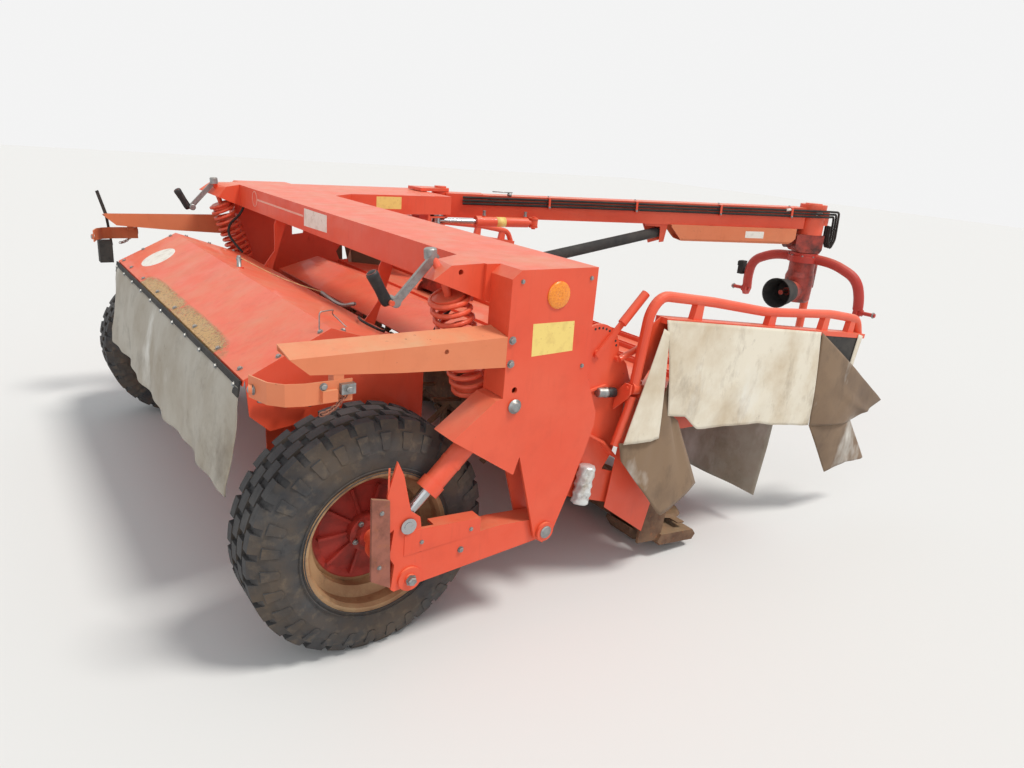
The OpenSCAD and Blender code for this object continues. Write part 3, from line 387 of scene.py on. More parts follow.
def rubber(name, base, dust):
    s = Shade(name, base, 0.85)
    s.layer(dust, s.window(s.noise(6.0, 7.0, 0.65), 0.35, 0.75), 0.5)
    s.layer(tuple(0.5 * v for v in base[:3]) + (1.0,), s.window(s.noise(40.0, 5.0), 0.5, 0.72), 0.5)
    s.bump(s.noise(220.0, 4.0), 0.4, 0.5)
    return s


greasy_casting = greasy()
steel = galvanised("galvanised_steel")
bare_steel = rusty("bare_steel", srgb(112, 84, 62), DARK_RUST)
rusty_bar = rusty("rusty_bar", srgb(150, 92, 76), srgb(96, 56, 44))
chrome_shade = Shade("piston_rod", srgb(178, 180, 182), 0.2, metal=1.0)
chrome_shade.layer(RUST, chrome_shade.window(chrome_shade.noise(26.0, 6.0), 0.6, 0.72), 0.5)
chrome_shade.roughness(chrome_shade.noise(30.0, 3.0), 0.15, 0.35)
piston_rod = chrome_shade.done()
black_shade = rubber("black_plastic", srgb(30, 30, 32), srgb(92, 86, 78))
black_plastic = black_shade.done()
hose_rubber = rubber("hose_rubber", srgb(26, 26, 28), srgb(84, 76, 66)).done()
grip_shade = Shade("grip_rubber", srgb(28, 28, 30), 0.55)
grip_shade.layer(srgb(70, 66, 60), grip_shade.window(grip_shade.noise(30.0, 5.0), 0.5, 0.7), 0.5)
grip_shade.bump(grip_shade.noise(300.0, 2.0), 0.2, 0.4)
grip_rubber = grip_shade.done()


def tyre_rubber():
    """Grey dusty tread, browner on the sidewalls, with moulded rings."""
    s = rubber("tyre_rubber", srgb(54, 54, 56), srgb(96, 93, 90))
    split = s.tree.nodes.new("ShaderNodeSeparateXYZ")
    s.join(s.place.outputs["Normal"], split.inputs[0])
    side = s.tree.nodes.new("ShaderNodeMath")
    side.operation = "ABSOLUTE"
    s.join(split.outputs["Y"], side.inputs[0])
    wall = s.window(side.outputs[0], 0.45, 0.9)
    s.layer(srgb(90, 76, 62), s.times(wall, s.window(s.noise(7.0, 6.0), 0.38, 0.66)), 0.8)
    s.layer(srgb(132, 114, 92), s.times(wall, s.window(s.noise(26.0, 7.0), 0.54, 0.78)), 0.45)
    return s.done()


def rim_finish():
    s = Shade("rim_paint", srgb(176, 142, 104), 0.6)
    s.layer(srgb(140, 92, 60), s.window(s.noise(8.0, 7.0, 0.68), 0.4, 0.62), 0.85)
    s.layer(DARK_RUST, s.window(s.noise(24.0, 7.0, 0.7), 0.55, 0.72), 0.7)
    s.layer(srgb(206, 178, 134), s.window(s.noise(4.0, 5.0), 0.55, 0.75), 0.5)
    split = s.tree.nodes.new("ShaderNodeSeparateXYZ")
    s.join(s.place.outputs["Object"], split.inputs[0])
    flat = s.tree.nodes.new("ShaderNodeCombineXYZ")
    s.join(split.outputs["X"], flat.inputs["X"])
    s.join(split.outputs["Z"], flat.inputs["Z"])
    away = s.tree.nodes.new("ShaderNodeVectorMath")
    away.operation = "DISTANCE"
    away.inputs[1].default_value = ((AXLE[0] - MID_X) / 1000, 0, AXLE[1] / 1000)
    s.join(flat.outputs[0], away.inputs[0])
    hub = s.window(away.outputs["Value"], 0.186, 0.182)
    s.layer(srgb(168, 40, 32), hub, 0.95)
    s.layer(srgb(96, 34, 26), s.times(hub, s.window(s.noise(15.0, 7.0), 0.45, 0.7)), 0.7)
    s.bump(s.noise(110.0, 6.0), 0.6, 0.5)
    return s.done()


def canvas(name, base, stain, dark, stain_low=0.42):
    """Coated cloth: fine weave, long stains, and dark and pale patches."""
    s = Shade(name, base, 0.88, sheen=0.1)
    s.layer(stain, s.window(s.noise(2.6, 6.0, 0.62), stain_low, stain_low + 0.26), 0.75)
    s.layer(dark, s.window(s.noise(5.2, 8.0, 0.7, (1.6, 1.0, 0.8)), 0.53, 0.75), 0.55)
    s.layer(srgb(74, 62, 52), s.window(s.noise(21.0, 8.0, 0.75), 0.62, 0.76), 0.45)
    s.layer(srgb(236, 236, 230), s.window(s.noise(3.4, 5.0, 0.6, (1.0, 1.0, 0.5)), 0.58, 0.72), 0.55)
    s.bump(s.noise(900.0, 2.0), 0.15, 0.5)
    s.bump(s.noise(18.0, 6.0), 2.0, 0.35)
    return s


tyre_skin = tyre_rubber()
rim_paint = rim_finish()
guard_canvas = canvas("guard_canvas", srgb(222, 214, 196), srgb(176, 150, 112), srgb(120, 98, 74)).done()
brown_canvas = canvas("brown_canvas", srgb(128, 104, 80), srgb(96, 76, 60), srgb(60, 48, 40)).done()
grey_canvas = canvas("grey_canvas", srgb(178, 172, 160), srgb(142, 128, 108), srgb(92, 80, 68)).done()

BY_NODE = {
    "tyre": tyre_skin, "rim": rim_paint, "lift_rod": piston_rod, "swing_rod": piston_rod,
    "light_arm": faded_paint, "shaft_guard": faded_paint, "light_lamp": black_plastic,
    "disc_": bare_steel, "cutterbar": bare_steel, "conditioner_rotor": bare_steel,
    "drive_shaft": black_plastic, "shaft_bell": black_plastic, "rear_hood": hood_paint,
    "upper_gearbox": greasy_casting, "lower_gearbox": greasy_casting, "unit_gearbox": greasy_casting,
    "swivel_yoke": deep_red, "rear_canvas": grey_canvas, "side_curtain": guard_canvas,
    "front_curtain": grey_canvas, "drawbar_hoses": hose_rubber,
}
for name, node in nodes.items():
    chosen = paint
    for start, material in BY_NODE.items():
        if name.startswith(start):
            chosen = material
    if not node.material_slots:
        node.data.materials.append(chosen)
    for slot in node.material_slots:
        slot.material = chosen
for hose in hoses:
    hose.data.materials.append(hose_rubber)

# Small trim, gathered into one mesh for each body and material.
class Trim:
    """Collects small solids that share a body and a material."""

    def __init__(self, name, body, material, slot, smooth=False):
        self.name, self.body, self.material, self.slot, self.smooth = name, body, material, slot, smooth
        self.bm = bmesh.new()

    def prism(self, corners, push):
        """A flat outline pushed along a vector, in metres."""
        low = [self.bm.verts.new(p) for p in corners]
        high = [self.bm.verts.new(p + push) for p in corners]
        self.bm.faces.new(low[::-1])
        self.bm.faces.new(high)
        for i in range(len(low)):
            j = (i + 1) % len(low)
            self.bm.faces.new((low[i], low[j], high[j], high[i]))

    def turned(self, start, axis, profile, sides=16):
        """A round piece about an axis: rows of (distance along, radius) in millimetres."""
        axis = axis.normalized()
        u = axis.orthogonal().normalized()
        v = axis.cross(u)
        rings = []
        for along, radius in profile:
            centre = start + axis * along / 1000
            if radius < 0.01:
                rings.append([self.bm.verts.new(centre)])
                continue
            ring = []
            for a in turns(sides):
                ring.append(self.bm.verts.new(centre + (u * math.cos(a) + v * math.sin(a)) * radius / 1000))
            rings.append(ring)
        for a, b in zip(rings, rings[1:]):
            for k in range(sides):
                j = (k + 1) % sides
                if len(a) == 1:
                    self.bm.faces.new((a[0], b[k], b[j]))
                elif len(b) == 1:
                    self.bm.faces.new((a[k], b[0], a[j]))
                else:
                    self.bm.faces.new((a[k], b[k], b[j], a[j]))
        if len(rings[0]) > 1:
            self.bm.faces.new(rings[0])
        if len(rings[-1]) > 1:
            self.bm.faces.new(rings[-1][::-1])

    def bolt(self, p, axis, size=8.0):
        """A washer with a hexagon head and the chamfer on it."""
        self.turned(p - axis.normalized() * 0.0006, axis,
                    [(0, size * 1.25), (2.4, size * 1.25), (2.4, size)], 20)
        self.turned(p + axis.normalized() * 0.0017, axis,
                    [(0, size * 0.96), (size * 0.55, size * 0.96), (size * 0.72, size * 0.8)], 6)

    def slab(self, centre, x_dir, y_dir, size):
        """A small block with its three sizes in millimetres."""
        x_dir = x_dir.normalized()
        z_dir = x_dir.cross(y_dir).normalized()
        y_dir = z_dir.cross(x_dir)
        a, b, c = (v / 2000 for v in size)
        signs = ((-1, -1), (1, -1), (1, 1), (-1, 1))
        corners = [centre + x_dir * sx * a + y_dir * sy * b - z_dir * c for sx, sy in signs]
        self.prism(corners, z_dir * 2 * c)

    def tube(self, points, radius, sides=10, closed=False):
        """A round bar along a path."""
        rings = []
        n = len(points)
        up = None
        for i, p in enumerate(points):
            before = points[(i - 1) % n] if closed or i > 0 else p
            after = points[(i + 1) % n] if closed or i < n - 1 else p
            way = (after - before).normalized()
            if up is None:
                up = way.orthogonal().normalized()
            up = (up - way * up.dot(way)).normalized()
            side = way.cross(up)
            ring = []
            for a in turns(sides):
                ring.append(self.bm.verts.new(p + (up * math.cos(a) + side * math.sin(a)) * radius / 1000))
            rings.append(ring)
        pairs = list(zip(rings, rings[1:]))
        if closed:
            pairs.append((rings[-1], rings[0]))
        for a, b in pairs:
            for k in range(sides):
                j = (k + 1) % sides
                self.bm.faces.new((a[k], a[j], b[j], b[k]))
        if not closed:
            self.bm.faces.new(rings[0][::-1])
            self.bm.faces.new(rings[-1])

    def done(self):
        bmesh.ops.recalc_face_normals(self.bm, faces=self.bm.faces)
        data = bpy.data.meshes.new(self.name)
        self.bm.to_mesh(data)
        self.bm.free()
        data.materials.append(self.material)
        if self.smooth:
            for face in data.polygons:
                face.use_smooth = True
        obj = link(self.name, data)
        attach(obj, self.body)
        return obj


X, Y, Z = Vector((1, 0, 0)), Vector((0, 1, 0)), Vector((0, 0, 1))
zinc = Trim("frame_fasteners", "frame", steel, "steel")

# Bolts on the rear hood: along its rear edge, down both ends of its two slopes.
REAR_SLOPE = Vector((-145, 0, 290)).normalized()
FRONT_SLOPE = Vector((120, 0, 360)).normalized()
HOOD_BOLT_Y = 1056
for y in (-985, -733, -420, -100, 220, 529, 820, 1020):
    zinc.bolt(at(-662, y, 934), REAR_SLOPE, 8)
for side in (-1, 1):
    for x in (-420, -560):
        zinc.bolt(at(x, side * HOOD_BOLT_Y, rear_slope_z(x)), REAR_SLOPE, 8)
    for x in (-340, -220, -90):
        zinc.bolt(at(x, side * HOOD_BOLT_Y, front_slope_z(x)), FRONT_SLOPE, 8)
    # Light arms on the legs, the strap's block and tip, and the hanger plate.
    for z in (1102, 1024):
        zinc.bolt(at(38, side * HALF_W, z), Y * side, 11)
    zinc.bolt(at(-590, side * (HALF_W + 0.5), 1028), Y * side, 9)
    zinc.slab(at(-523, side * (HALF_W + 8), 1018), X, Z, (42, 30, 18))
    zinc.bolt(at(-523, side * (HALF_W + 17), 1018), Y * side, 10)
    zinc.turned(at(-745, side * (HALF_W - 112), 1005), -X,
                [(0, 16), (3, 16), (3, 12), (12, 11), (16, 6), (17, 0)], 16)
    zinc.bolt(at(-97, side * (HALF_W - 14.5), 377), Y * side, 9)
    zinc.turned(at(-290, side * (HALF_W - 2), 324), Y * side,
                [(0, 20), (3, 20), (3, 15.5), (13, 15.5), (16, 12)], 6)
    for x, z in ((60, 1290), (345, 1290), (345, 985)):
        zinc.bolt(at(x, side * HALF_W, z), Y * side, 6)
zinc.done()

rust_trim = Trim("rusty_chain", "frame", rusty_bar, "bare_steel", smooth=True)


def chain(trim, points, link_r, wire_r, way):
    """Oval links, each turned a quarter from the last."""
    for i, (p, q) in enumerate(zip(points, points[1:])):
        along = (q - p).normalized()
        flat = (way - along * way.dot(along)).normalized() if i % 2 else along.cross(way).normalized()
        middle = (p + q) / 2
        ring = []
        for a in turns(14):
            lengthwise = along * math.cos(a) * link_r * 1.55 / 1000
            ring.append(middle + lengthwise + flat * math.sin(a) * link_r / 1000)
        trim.tube(ring, wire_r, 6, closed=True)


# A short chain hangs from each light arm's block.
for side in (-1, 1):
    drop = [at(-528 - 8 * i, side * (HALF_W + 9), 1002 - 11 * i + 0.6 * i * i) for i in range(10)]
    chain(rust_trim, drop, 6.5, 1.9, Y)
rust_trim.done()

# Cranks on the spring hangers: zinc arms with black ribbed grips.
crank_y = HALF_W - 250
cranks = Trim("crank_arms", "frame", steel, "steel", smooth=False)
grips = Trim("crank_grips", "frame", grip_rubber, "black_plastic", smooth=True)
CRANK_TURN = math.radians(43)
arm_dir = Vector((-math.sin(CRANK_TURN), 0, -math.cos(CRANK_TURN)))
arm_flat = Vector((math.cos(CRANK_TURN), 0, -math.sin(CRANK_TURN)))
for side in (-1, 1):
    hub = at(-128, side * (crank_y + 15), 1330)
    middle = hub + arm_dir * 0.091
    cranks.slab(middle, arm_dir, arm_flat, (214, 26, 12))
    cranks.turned(at(-129, side * crank_y, 1324), Vector((-0.1, 0, 1)),
                  [(0, 21.5), (30, 21.5), (34, 17)], 20)
    cranks.turned(hub + arm_dir * 0.19, Y * -side, [(-8, 17), (40, 17), (42, 14)], 16)
    start = at(-276, side * (crank_y - 4), 1184)
    way = Vector((-58, 0, 102)).normalized()
    grips.turned(start - way * 0.004, way,
                 [(0, 10), (2, 15), (10, 18.5), (26, 19), (60, 18), (96, 19.5), (112, 20.5),
                  (120, 18), (124, 10), (125, 0)], 24)
cranks.done()
grips.done()

# Reflectors, blank plates, the pale stripe and the white disc.
reflect_shade = Shade("orange_lens", srgb(246, 148, 22), 0.25, coat=0.5)
cells = reflect_shade.tree.nodes.new("ShaderNodeTexVoronoi")
cells.inputs["Scale"].default_value = 190.0
reflect_shade.join(reflect_shade.place.outputs["Object"], cells.inputs["Vector"])
reflect_shade.layer(srgb(214, 108, 10), reflect_shade.window(cells.outputs["Distance"], 0.2, 0.8), 0.7)
reflect_shade.bump(cells.outputs["Distance"], 0.8, 0.6)
orange_lens = reflect_shade.done()


def label(name, base, dirt):
    s = Shade(name, base, 0.5)
    s.layer(dirt, s.window(s.noise(22.0, 7.0), 0.5, 0.75), 0.5)
    s.layer(dirt, s.window(s.noise(90.0, 5.0), 0.62, 0.7), 0.6)
    s.bump(s.noise(60.0, 3.0), 0.2, 0.3)
    return s.done()


white_label = label("white_label", srgb(232, 228, 218), srgb(170, 154, 130))
yellow_label = label("yellow_label", srgb(236, 208, 120), srgb(190, 150, 84))
pale_stripe = label("pale_stripe", srgb(232, 178, 160), srgb(214, 110, 84))
lenses = Trim("reflectors", "frame", orange_lens, "paint", smooth=True)
for side in (-1, 1):
    lenses.turned(at(210, side * (HALF_W - 1), 1240), Y * side,
                  [(0, 46), (3, 46), (6, 44.5), (8, 40), (8.5, 14), (8.5, 9), (7, 7), (8, 5), (9, 0)], 48)
lenses.done()
whites = Trim("white_plates", "frame", white_label, "paint")
yellows = Trim("yellow_plates", "frame", yellow_label, "paint")
stripes = Trim("beam_stripe", "frame", pale_stripe, "paint")


def quad(trim, points, normal, thick=0.5):
    n = normal.normalized()
    trim.prism([p - n * 0.0003 for p in points], n * thick / 1000)


quad(whites, [at(0, 190, 1313), at(0, -86, 1313), at(0, -88, 1236), at(0, 192, 1230)], -X)
quad(stripes, [at(0, 892, 1279), at(0, 200, 1279), at(0, 200, 1270), at(0, 892, 1270)], -X)
STRIPE_RING = (930, 1275)
RING_R = 40
ring_points = []
for a in turns(36):
    ring_points.append(at(-0.3, STRIPE_RING[0] + RING_R * math.cos(a), STRIPE_RING[1] + RING_R * math.sin(a)))
stripes.tube(ring_points, 2.6, 4, closed=True)
for side in (-1, 1):
    quad(yellows, [at(116, side * HALF_W, 1150), at(290, side * HALF_W, 1148),
                   at(294, side * HALF_W, 1044), at(120, side * HALF_W, 1040)], Y * side)
HOOD_DISC = (-545, 765)
disc_out = []
for a in turns(40):
    disc_out.append(at(HOOD_DISC[0] + 78 * math.cos(a), HOOD_DISC[1] + 112 * math.sin(a), 0))
for p in disc_out:
    p.z = (rear_slope_z(p.x * 1000 + MID_X) + 0.2) / 1000
quad(whites, disc_out, REAR_SLOPE)
STUB_NEAR_Y = HALF_W - 118 - 560
quad(yellows, [at(684, STUB_NEAR_Y, 1316), at(850, STUB_NEAR_Y, 1316),
               at(850, STUB_NEAR_Y, 1244), at(684, STUB_NEAR_Y, 1244)], -Y)
whites.done()
yellows.done()
stripes.done()
trough_label = Trim("trough_label", "drawbar", white_label, "paint")
quad(trough_label, [on_bar(2200, -95, -102, BAR_RISE), on_bar(2340, -95, -102, BAR_RISE),
                    on_bar(2340, -95, -150, BAR_RISE), on_bar(2200, -95, -150, BAR_RISE)],
     on_bar(0, -1, 0) - on_bar(0, 0, 0))
trough_label.done()

# Black strip and its bolts along the hood's rear edge.
STRIP_HALF = 1071
strip = Trim("hood_strip", "frame", black_plastic, "black_plastic")
strip.prism([at(-685.5, -STRIP_HALF, 922), at(-685.5, STRIP_HALF, 922),
             at(-694, STRIP_HALF, 868), at(-694, -STRIP_HALF, 868)], at(-6, 0, 1) - at(0, 0, 0))
strip.done()
strip_bolts = Trim("hood_strip_bolts", "frame", steel, "steel")
for y in range(-1030, 1031, 206):
    strip_bolts.bolt(at(-695.5, y, 900), Vector((-1, 0, 0.16)), 8)
strip_bolts.done()

# Pin, cord and winged stop that hold the hood's flap.
flap = Trim("hood_flap_pins", "frame", steel, "steel", smooth=True)
flap.turned(at(-330, 130, 1040), Z, [(0, 20), (12, 20), (12, 10), (58, 10), (64, 8), (66, 0)], 20)
flap.turned(at(-342, 130, 1088), X, [(0, 5), (26, 5)], 12)
wing = [at(-62, -182, 986), at(-56, -300, 972), at(-52, -360, 970), at(-50, -410, 976), at(-48, -500, 1004)]
flap.tube(rounded(wing, 18 / 1000, 4), 8, 12)
flap.done()
CORD_SAG = 14
string_points = []
for i in range(25):
    t = i / 24
    sag = CORD_SAG * math.sin(math.pi * t)
    string_points.append(at(-330 + 270 * t, 130 - 316 * t, 1098 - 110 * t - sag))

# Wheel arms and wheels: rusty flat bar, bolts, hub cap, studs and sidewalls.
STUD_CIRCLE = 55
for side, tag in ((-1, "near"), (1, "far")):
    body = f"wheel_arm_{tag}"
    bar = Trim(f"arm_rusty_bar_{tag}", body, rusty_bar, "bare_steel")
    outline = ((-431.5, 643.5), (-371.5, 626.5), (-361.5, 313), (-428.5, 356))
    bar.prism([at(x, side * 1479.5, z) for x, z in outline], Y * side * 0.0116)
    bar.done()
    nuts = Trim(f"arm_bolts_{tag}", body, steel, "steel")
    nuts.turned(at(-290, side * 1497.5, 324), Y * side,
                [(0, 20.5), (2, 20.5), (2, 16), (13, 16), (16, 12)], 6)
    nuts.bolt(at(-97, side * 1484, 377), Y * side, 9)
    nuts.bolt(at(-398, side * 1491, 590), Y * side, 6)
    nuts.bolt(at(-402, side * 1491, 400), Y * side, 6)
    nuts.turned(at(250, side * 1511, 366), Y * side, [(0, 24), (4, 24), (7, 20)], 24)
    for x, z in ((-250, 448), (-60, 446)):
        nuts.bolt(at(x, side * 1486, z), Y * side, 6)
    nuts.done()
    wheel = f"wheel_{tag}"
    cap = Trim(f"hub_cap_{tag}", wheel, rusty_bar, "bare_steel", smooth=True)
    centre = at(AXLE[0], side * (-WHEEL_OUT - 190.5), AXLE[1])
    cap.turned(centre, Y * -side, [(0, 34), (6, 34), (14, 28), (18, 20), (19, 0)], 28)
    cap.done()
    studs = Trim(f"wheel_studs_{tag}", wheel, steel, "steel")
    for k in range(5):
        a = math.radians(72 * k + 54)
        place = at(AXLE[0] + STUD_CIRCLE * math.cos(a), side * (-WHEEL_OUT - 67.5),
                   AXLE[1] + STUD_CIRCLE * math.sin(a))
        studs.bolt(place, Y * side, 8)
    studs.done()
    # Shoulder blocks and moulded rings on both sidewalls of the tyre.
    wall = Trim(f"tyre_sidewall_{tag}", wheel, tyre_skin, "tyre")
    for face_side, face in ((1, -WHEEL_OUT), (-1, -WHEEL_OUT - TYRE_W)):
        out_way = Y * side * face_side
        for k in range(30):
            a = 2 * math.pi * (k + 0.25) / 30
            away = Vector((math.cos(a), 0, math.sin(a)))
            round_way = Vector((-math.sin(a), 0, math.cos(a)))
            base = at(AXLE[0], side * face, AXLE[1]) + away * 0.358 - out_way * 0.006
            corners = [base + away * 0.026 + round_way * 0.018 - out_way * 0.014,
                       base - away * 0.024 + round_way * 0.013, base - away * 0.030,
                       base - away * 0.024 - round_way * 0.013,
                       base + away * 0.026 - round_way * 0.018 - out_way * 0.014]
            wall.prism(corners, out_way * 0.0095)
    for face_side, face in ((1, -WHEEL_OUT), (-1, -WHEEL_OUT - TYRE_W)):
        for ring_r, sink in ((252, -3.2), (266, -2.6), (318, 0.6)):
            ring = []
            for a in turns(64):
                ring.append(at(AXLE[0] + ring_r * math.cos(a), side * (face - face_side * sink),
                               AXLE[1] + ring_r * math.sin(a)))
            wall.tube(ring, 2.2, 6, closed=True)
    wall.done()

# Pins and handles of zinc over the painted solids.
pins = Trim("frame_pins", "frame", steel, "steel", smooth=True)
pin_rubber = Trim("frame_pin_rubber", "frame", grip_rubber, "black_plastic", smooth=True)
# Black discs over the quadrant's holes: painted shade in the holes.
hole_shades = Trim("quadrant_hole_shades", "frame", black_plastic, "black_plastic")
HANDLE_Y = HOOD_HALF + 24
LEVER_Y = 1418
QUADRANT = (500, 985)
HOLES_R = 97
for side in (-1, 1):
    pins.turned(at(66, side * 1503.5, 876), Y * side, [(0, 25), (3, 25), (3, 17), (11, 17), (13, 14)], 28)
    pins.tube([at(-643, side * HANDLE_Y, 862.9), at(-556, side * HANDLE_Y, 844),
               at(-470, side * HANDLE_Y, 825.2)], 10, 14)
    pins.turned(at(-556, side * (HOOD_HALF + 6), 844), Y * side, [(0, 17), (30, 16), (36, 12)], 20)
    way = Vector((78, 0, -10)).normalized()
    pins.turned(at(512, side * LEVER_Y, 837), way,
                [(0, 14), (4, 18.5), (38, 18.5), (40, 20), (48, 20), (50, 17.6)], 24)
    pin_rubber.turned(at(560, side * LEVER_Y, 831), way, [(0, 17.4), (2, 19), (40, 19), (42, 15)], 24)
    for k in range(9):
        a = math.radians(14 + 11 * k)
        hole = at(QUADRANT[0] + HOLES_R * math.cos(a), side * 1404, QUADRANT[1] + HOLES_R * math.sin(a))
        hole_shades.turned(hole, Y * side, [(0, 4.6), (0.8, 4.6), (0.8, 0)], 12)
pins.done()
pin_rubber.done()
hole_shades.done()

# Swing cylinder: blank yellow band, fittings and the tap's lever.
SWING_Z = 1170
swing_a = on_bar(640, -135, SWING_Z - BAR_BASE)
swing_b = at(1132, STUB_NEAR_Y + 60, SWING_Z)
swing_way = (swing_b - swing_a).normalized()
band = Trim("cylinder_band", "swing_barrel", yellow_label, "paint", smooth=True)
band.turned(swing_a + swing_way * 0.225, swing_way, [(0, 32), (0.01, 32.7), (66, 32.7), (66.01, 32)], 36)
band.done()
fitting = Trim("cylinder_fittings", "swing_barrel", steel, "steel")
for reach in (0.07, 0.38):
    fitting.turned(swing_a + swing_way * reach + Z * 0.04, Z,
                   [(0, 13), (12, 13), (12, 9), (22, 9), (22, 11.5), (32, 11.5)], 6)
fitting.done()
lever = Trim("tap_lever", "drawbar", steel, "steel", smooth=True)
lever.turned(on_bar(470, -70, 76, BAR_RISE), Z, [(0, 16), (14, 16), (16, 12), (22, 12)], 20)
lever.slab(on_bar(420, -84, 101, BAR_RISE), on_bar(1, 0.2, 0) - on_bar(0, 0, 0), Y, (140, 16, 6))
lever.done()

# Screws of the hose clips, and white bands on the hoses.
clip = Trim("hose_clip_bolts", "drawbar", steel, "steel")
for s in CLIP_PLACES:
    clip.bolt(on_bar(s + 7, -50, 80, BAR_RISE), Z, 7)
    clip.bolt(on_bar(s + 7, -109, 12, BAR_RISE), on_bar(0, -1, 0) - on_bar(0, 0, 0), 6)
clip.done()
bands = Trim("hose_bands", "drawbar", white_label, "hose", smooth=True)
for s, height, across in ((2480, 62 + 74, -95.2), (2712, 42 + 80, -103)):
    start = on_bar(s, across, height)
    way = (on_bar(s + 10, across, height + 1.2) - start).normalized()
    bands.turned(start, way, [(0, 8), (0.1, 9.6), (46, 9.6), (46.1, 8)], 18)
bands.done()

# Cloth.
def cloth(name, grid, body, front, back, thick=2.4):
    """A sheet from rows of points, given its thickness by a modifier."""
    rows, cols = len(grid), len(grid[0])
    verts = [p for row in grid for p in row]
    faces = []
    for r in range(rows - 1):
        for c in range(cols - 1):
            i = r * cols + c
            faces.append((i, i + 1, i + cols + 1, i + cols))
    data = bpy.data.meshes.new(name)
    data.from_pydata(verts, [], faces)
    data.materials.append(front)
    data.materials.append(back)
    for face in data.polygons:
        face.use_smooth = True
    obj = link(name, data)
    solid = obj.modifiers.new("thickness", "SOLIDIFY")
    solid.thickness = thick / 1000
    solid.offset = 0.0
    solid.material_offset = 1
    solid.material_offset_rim = 0
    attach(obj, body)
    return obj


def along(points, t):
    """The point at fraction t of a polyline's length."""
    total = route_length(points)
    if total == 0:
        return points[0]
    left = t * total
    for p, q in zip(points, points[1:]):
        step = (q - p).length
        if left <= step or q is points[-1]:
            return p.lerp(q, min(1.0, left / step) if step else 0.0)
        left -= step
    return points[-1]


def ruled(top, bottom, cols, rows, bulge):
    """Rows of points between two edges, moved across by bulge(u, v)."""
    grid = []
    for r in range(rows + 1):
        v = r / rows
        row = []
        for c in range(cols + 1):
            u = c / cols
            p = along(top, u).lerp(along(bottom, u), v)
            row.append(p + bulge(u, v))
        grid.append(row)
    return grid


def pts(*pairs):
    """Points of the folded guard: along the roof, above it, and how far it stands out."""
    return [Vector((x, out, z)) for x, z, out in pairs]


def wave(u, v):
    """Uneven creases: three waves of falling height, between about -1 and 1."""
    wide = math.sin(7.3 * u + 3.1 * v)
    middling = 0.6 * math.sin(15.1 * u - 4.2 * v + 1.3)
    narrow = 0.4 * math.sin(29 * u + 6 * v)
    return (wide + middling + narrow) / 2


def panel_bulge(u, v):
    """Two slanting folds near the front, with the whole panel bellied a little."""
    strong = math.exp(-((u - 0.72 + 0.5 * v) / 0.05) ** 2)
    weak = 0.7 * math.exp(-((u - 0.93 + 0.42 * v) / 0.04) ** 2)
    fold = strong + weak
    belly = 8 * math.sin(math.pi * v) * (1 - 0.4 * u)
    return Vector((0, v * (5 * wave(u, v) + 7 * fold) + belly, 3 * v * wave(u * 1.7, 0.4)))


def front_bulge(u, v):
    crease = math.exp(-((v - 0.42 - 0.12 * u) / 0.09) ** 2)
    return Vector((0, 26 * math.sin(math.pi * u) * (0.4 + 0.6 * v) + 12 * crease * u + 5 * wave(u, v) * u, 0))


def low_bulge(u, v):
    return Vector((0, 16 * math.sin(math.pi * u) + 6 * wave(u * 0.8, v) * v, 0))


def flap_bulge(u, v):
    return Vector((0, 9 * math.sin(math.pi * u) * v + 4 * wave(u, v) * v, 0))


TOP = GUARD_RISE - 5
GUARD_SHEETS = (
    ("panel", guard_canvas, brown_canvas, 84, 34, panel_bulge,
     pts((-44, TOP, 2), (1007, TOP - 1, 2)),
     pts((87, -86, 4), (191, -92, 8), (280, -144, 6), (697, -136, 5), (1118, -161, 8))),
    ("left_flap", guard_canvas, brown_canvas, 16, 30, flap_bulge,
     pts((-52, 262, 5), (-20, 250, 7)),
     pts((-136, -192, 12), (53, -173, 16))),
    ("brown_flap", brown_canvas, guard_canvas, 26, 26, low_bulge,
     pts((-150, -190, 0), (0, -184, -2), (34, -70, -18), (62, 90, -22), (100, -70, -20), (170, -112, -8)),
     pts((-121, -262, 6), (153, -512, 14), (206, -491, 14), (362, -391, 8))),
    ("front_fold", brown_canvas, guard_canvas, 40, 30, front_bulge,
     pts((1010, TOP - 2, 7), (1426, 103, 12), (1740, -38, 10)),
     pts((1121, -161, 9), (1300, -150, 16), (1475, -141, 18))),
    ("front_tail", brown_canvas, guard_canvas, 30, 24, low_bulge,
     pts((1119, -160, 9), (1300, -150, 14), (1478, -140, 14)),
     pts((1387, -420, 10), (1521, -366, 16), (1735, -362, 10))),
    # The folded-under inner side of the canvas, coloured black as painted shade.
    ("front_lining", black_plastic, grey_canvas, 24, 20, flap_bulge,
     pts((1004, TOP - 2, -3), (1352, TOP - 5, -3)),
     pts((1100, 20, -4), (1338, -60, -4))),
    ("front_border", guard_canvas, guard_canvas, 4, 20, flap_bulge,
     pts((1338, TOP + 2, 3), (1378, TOP - 4, 3)),
     pts((1322, -40, 2), (1346, -60, 2))),
)
for side, tag in ((-1, "near"), (1, "far")):
    for name, front, back, cols, rows, bulge, top, bottom in GUARD_SHEETS:
        grid = ruled(top, bottom, cols, rows, bulge)
        placed = [[on_unit(p.x, side * (HALF_W + p.y), p.z) for p in row] for row in grid]
        if side < 0:
            placed = [row[::-1] for row in placed]
        sheet = cloth(f"guard_{name}_{tag}", placed, f"curtain_{tag}", front, back)
        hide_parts(f"side_curtain_{tag}")


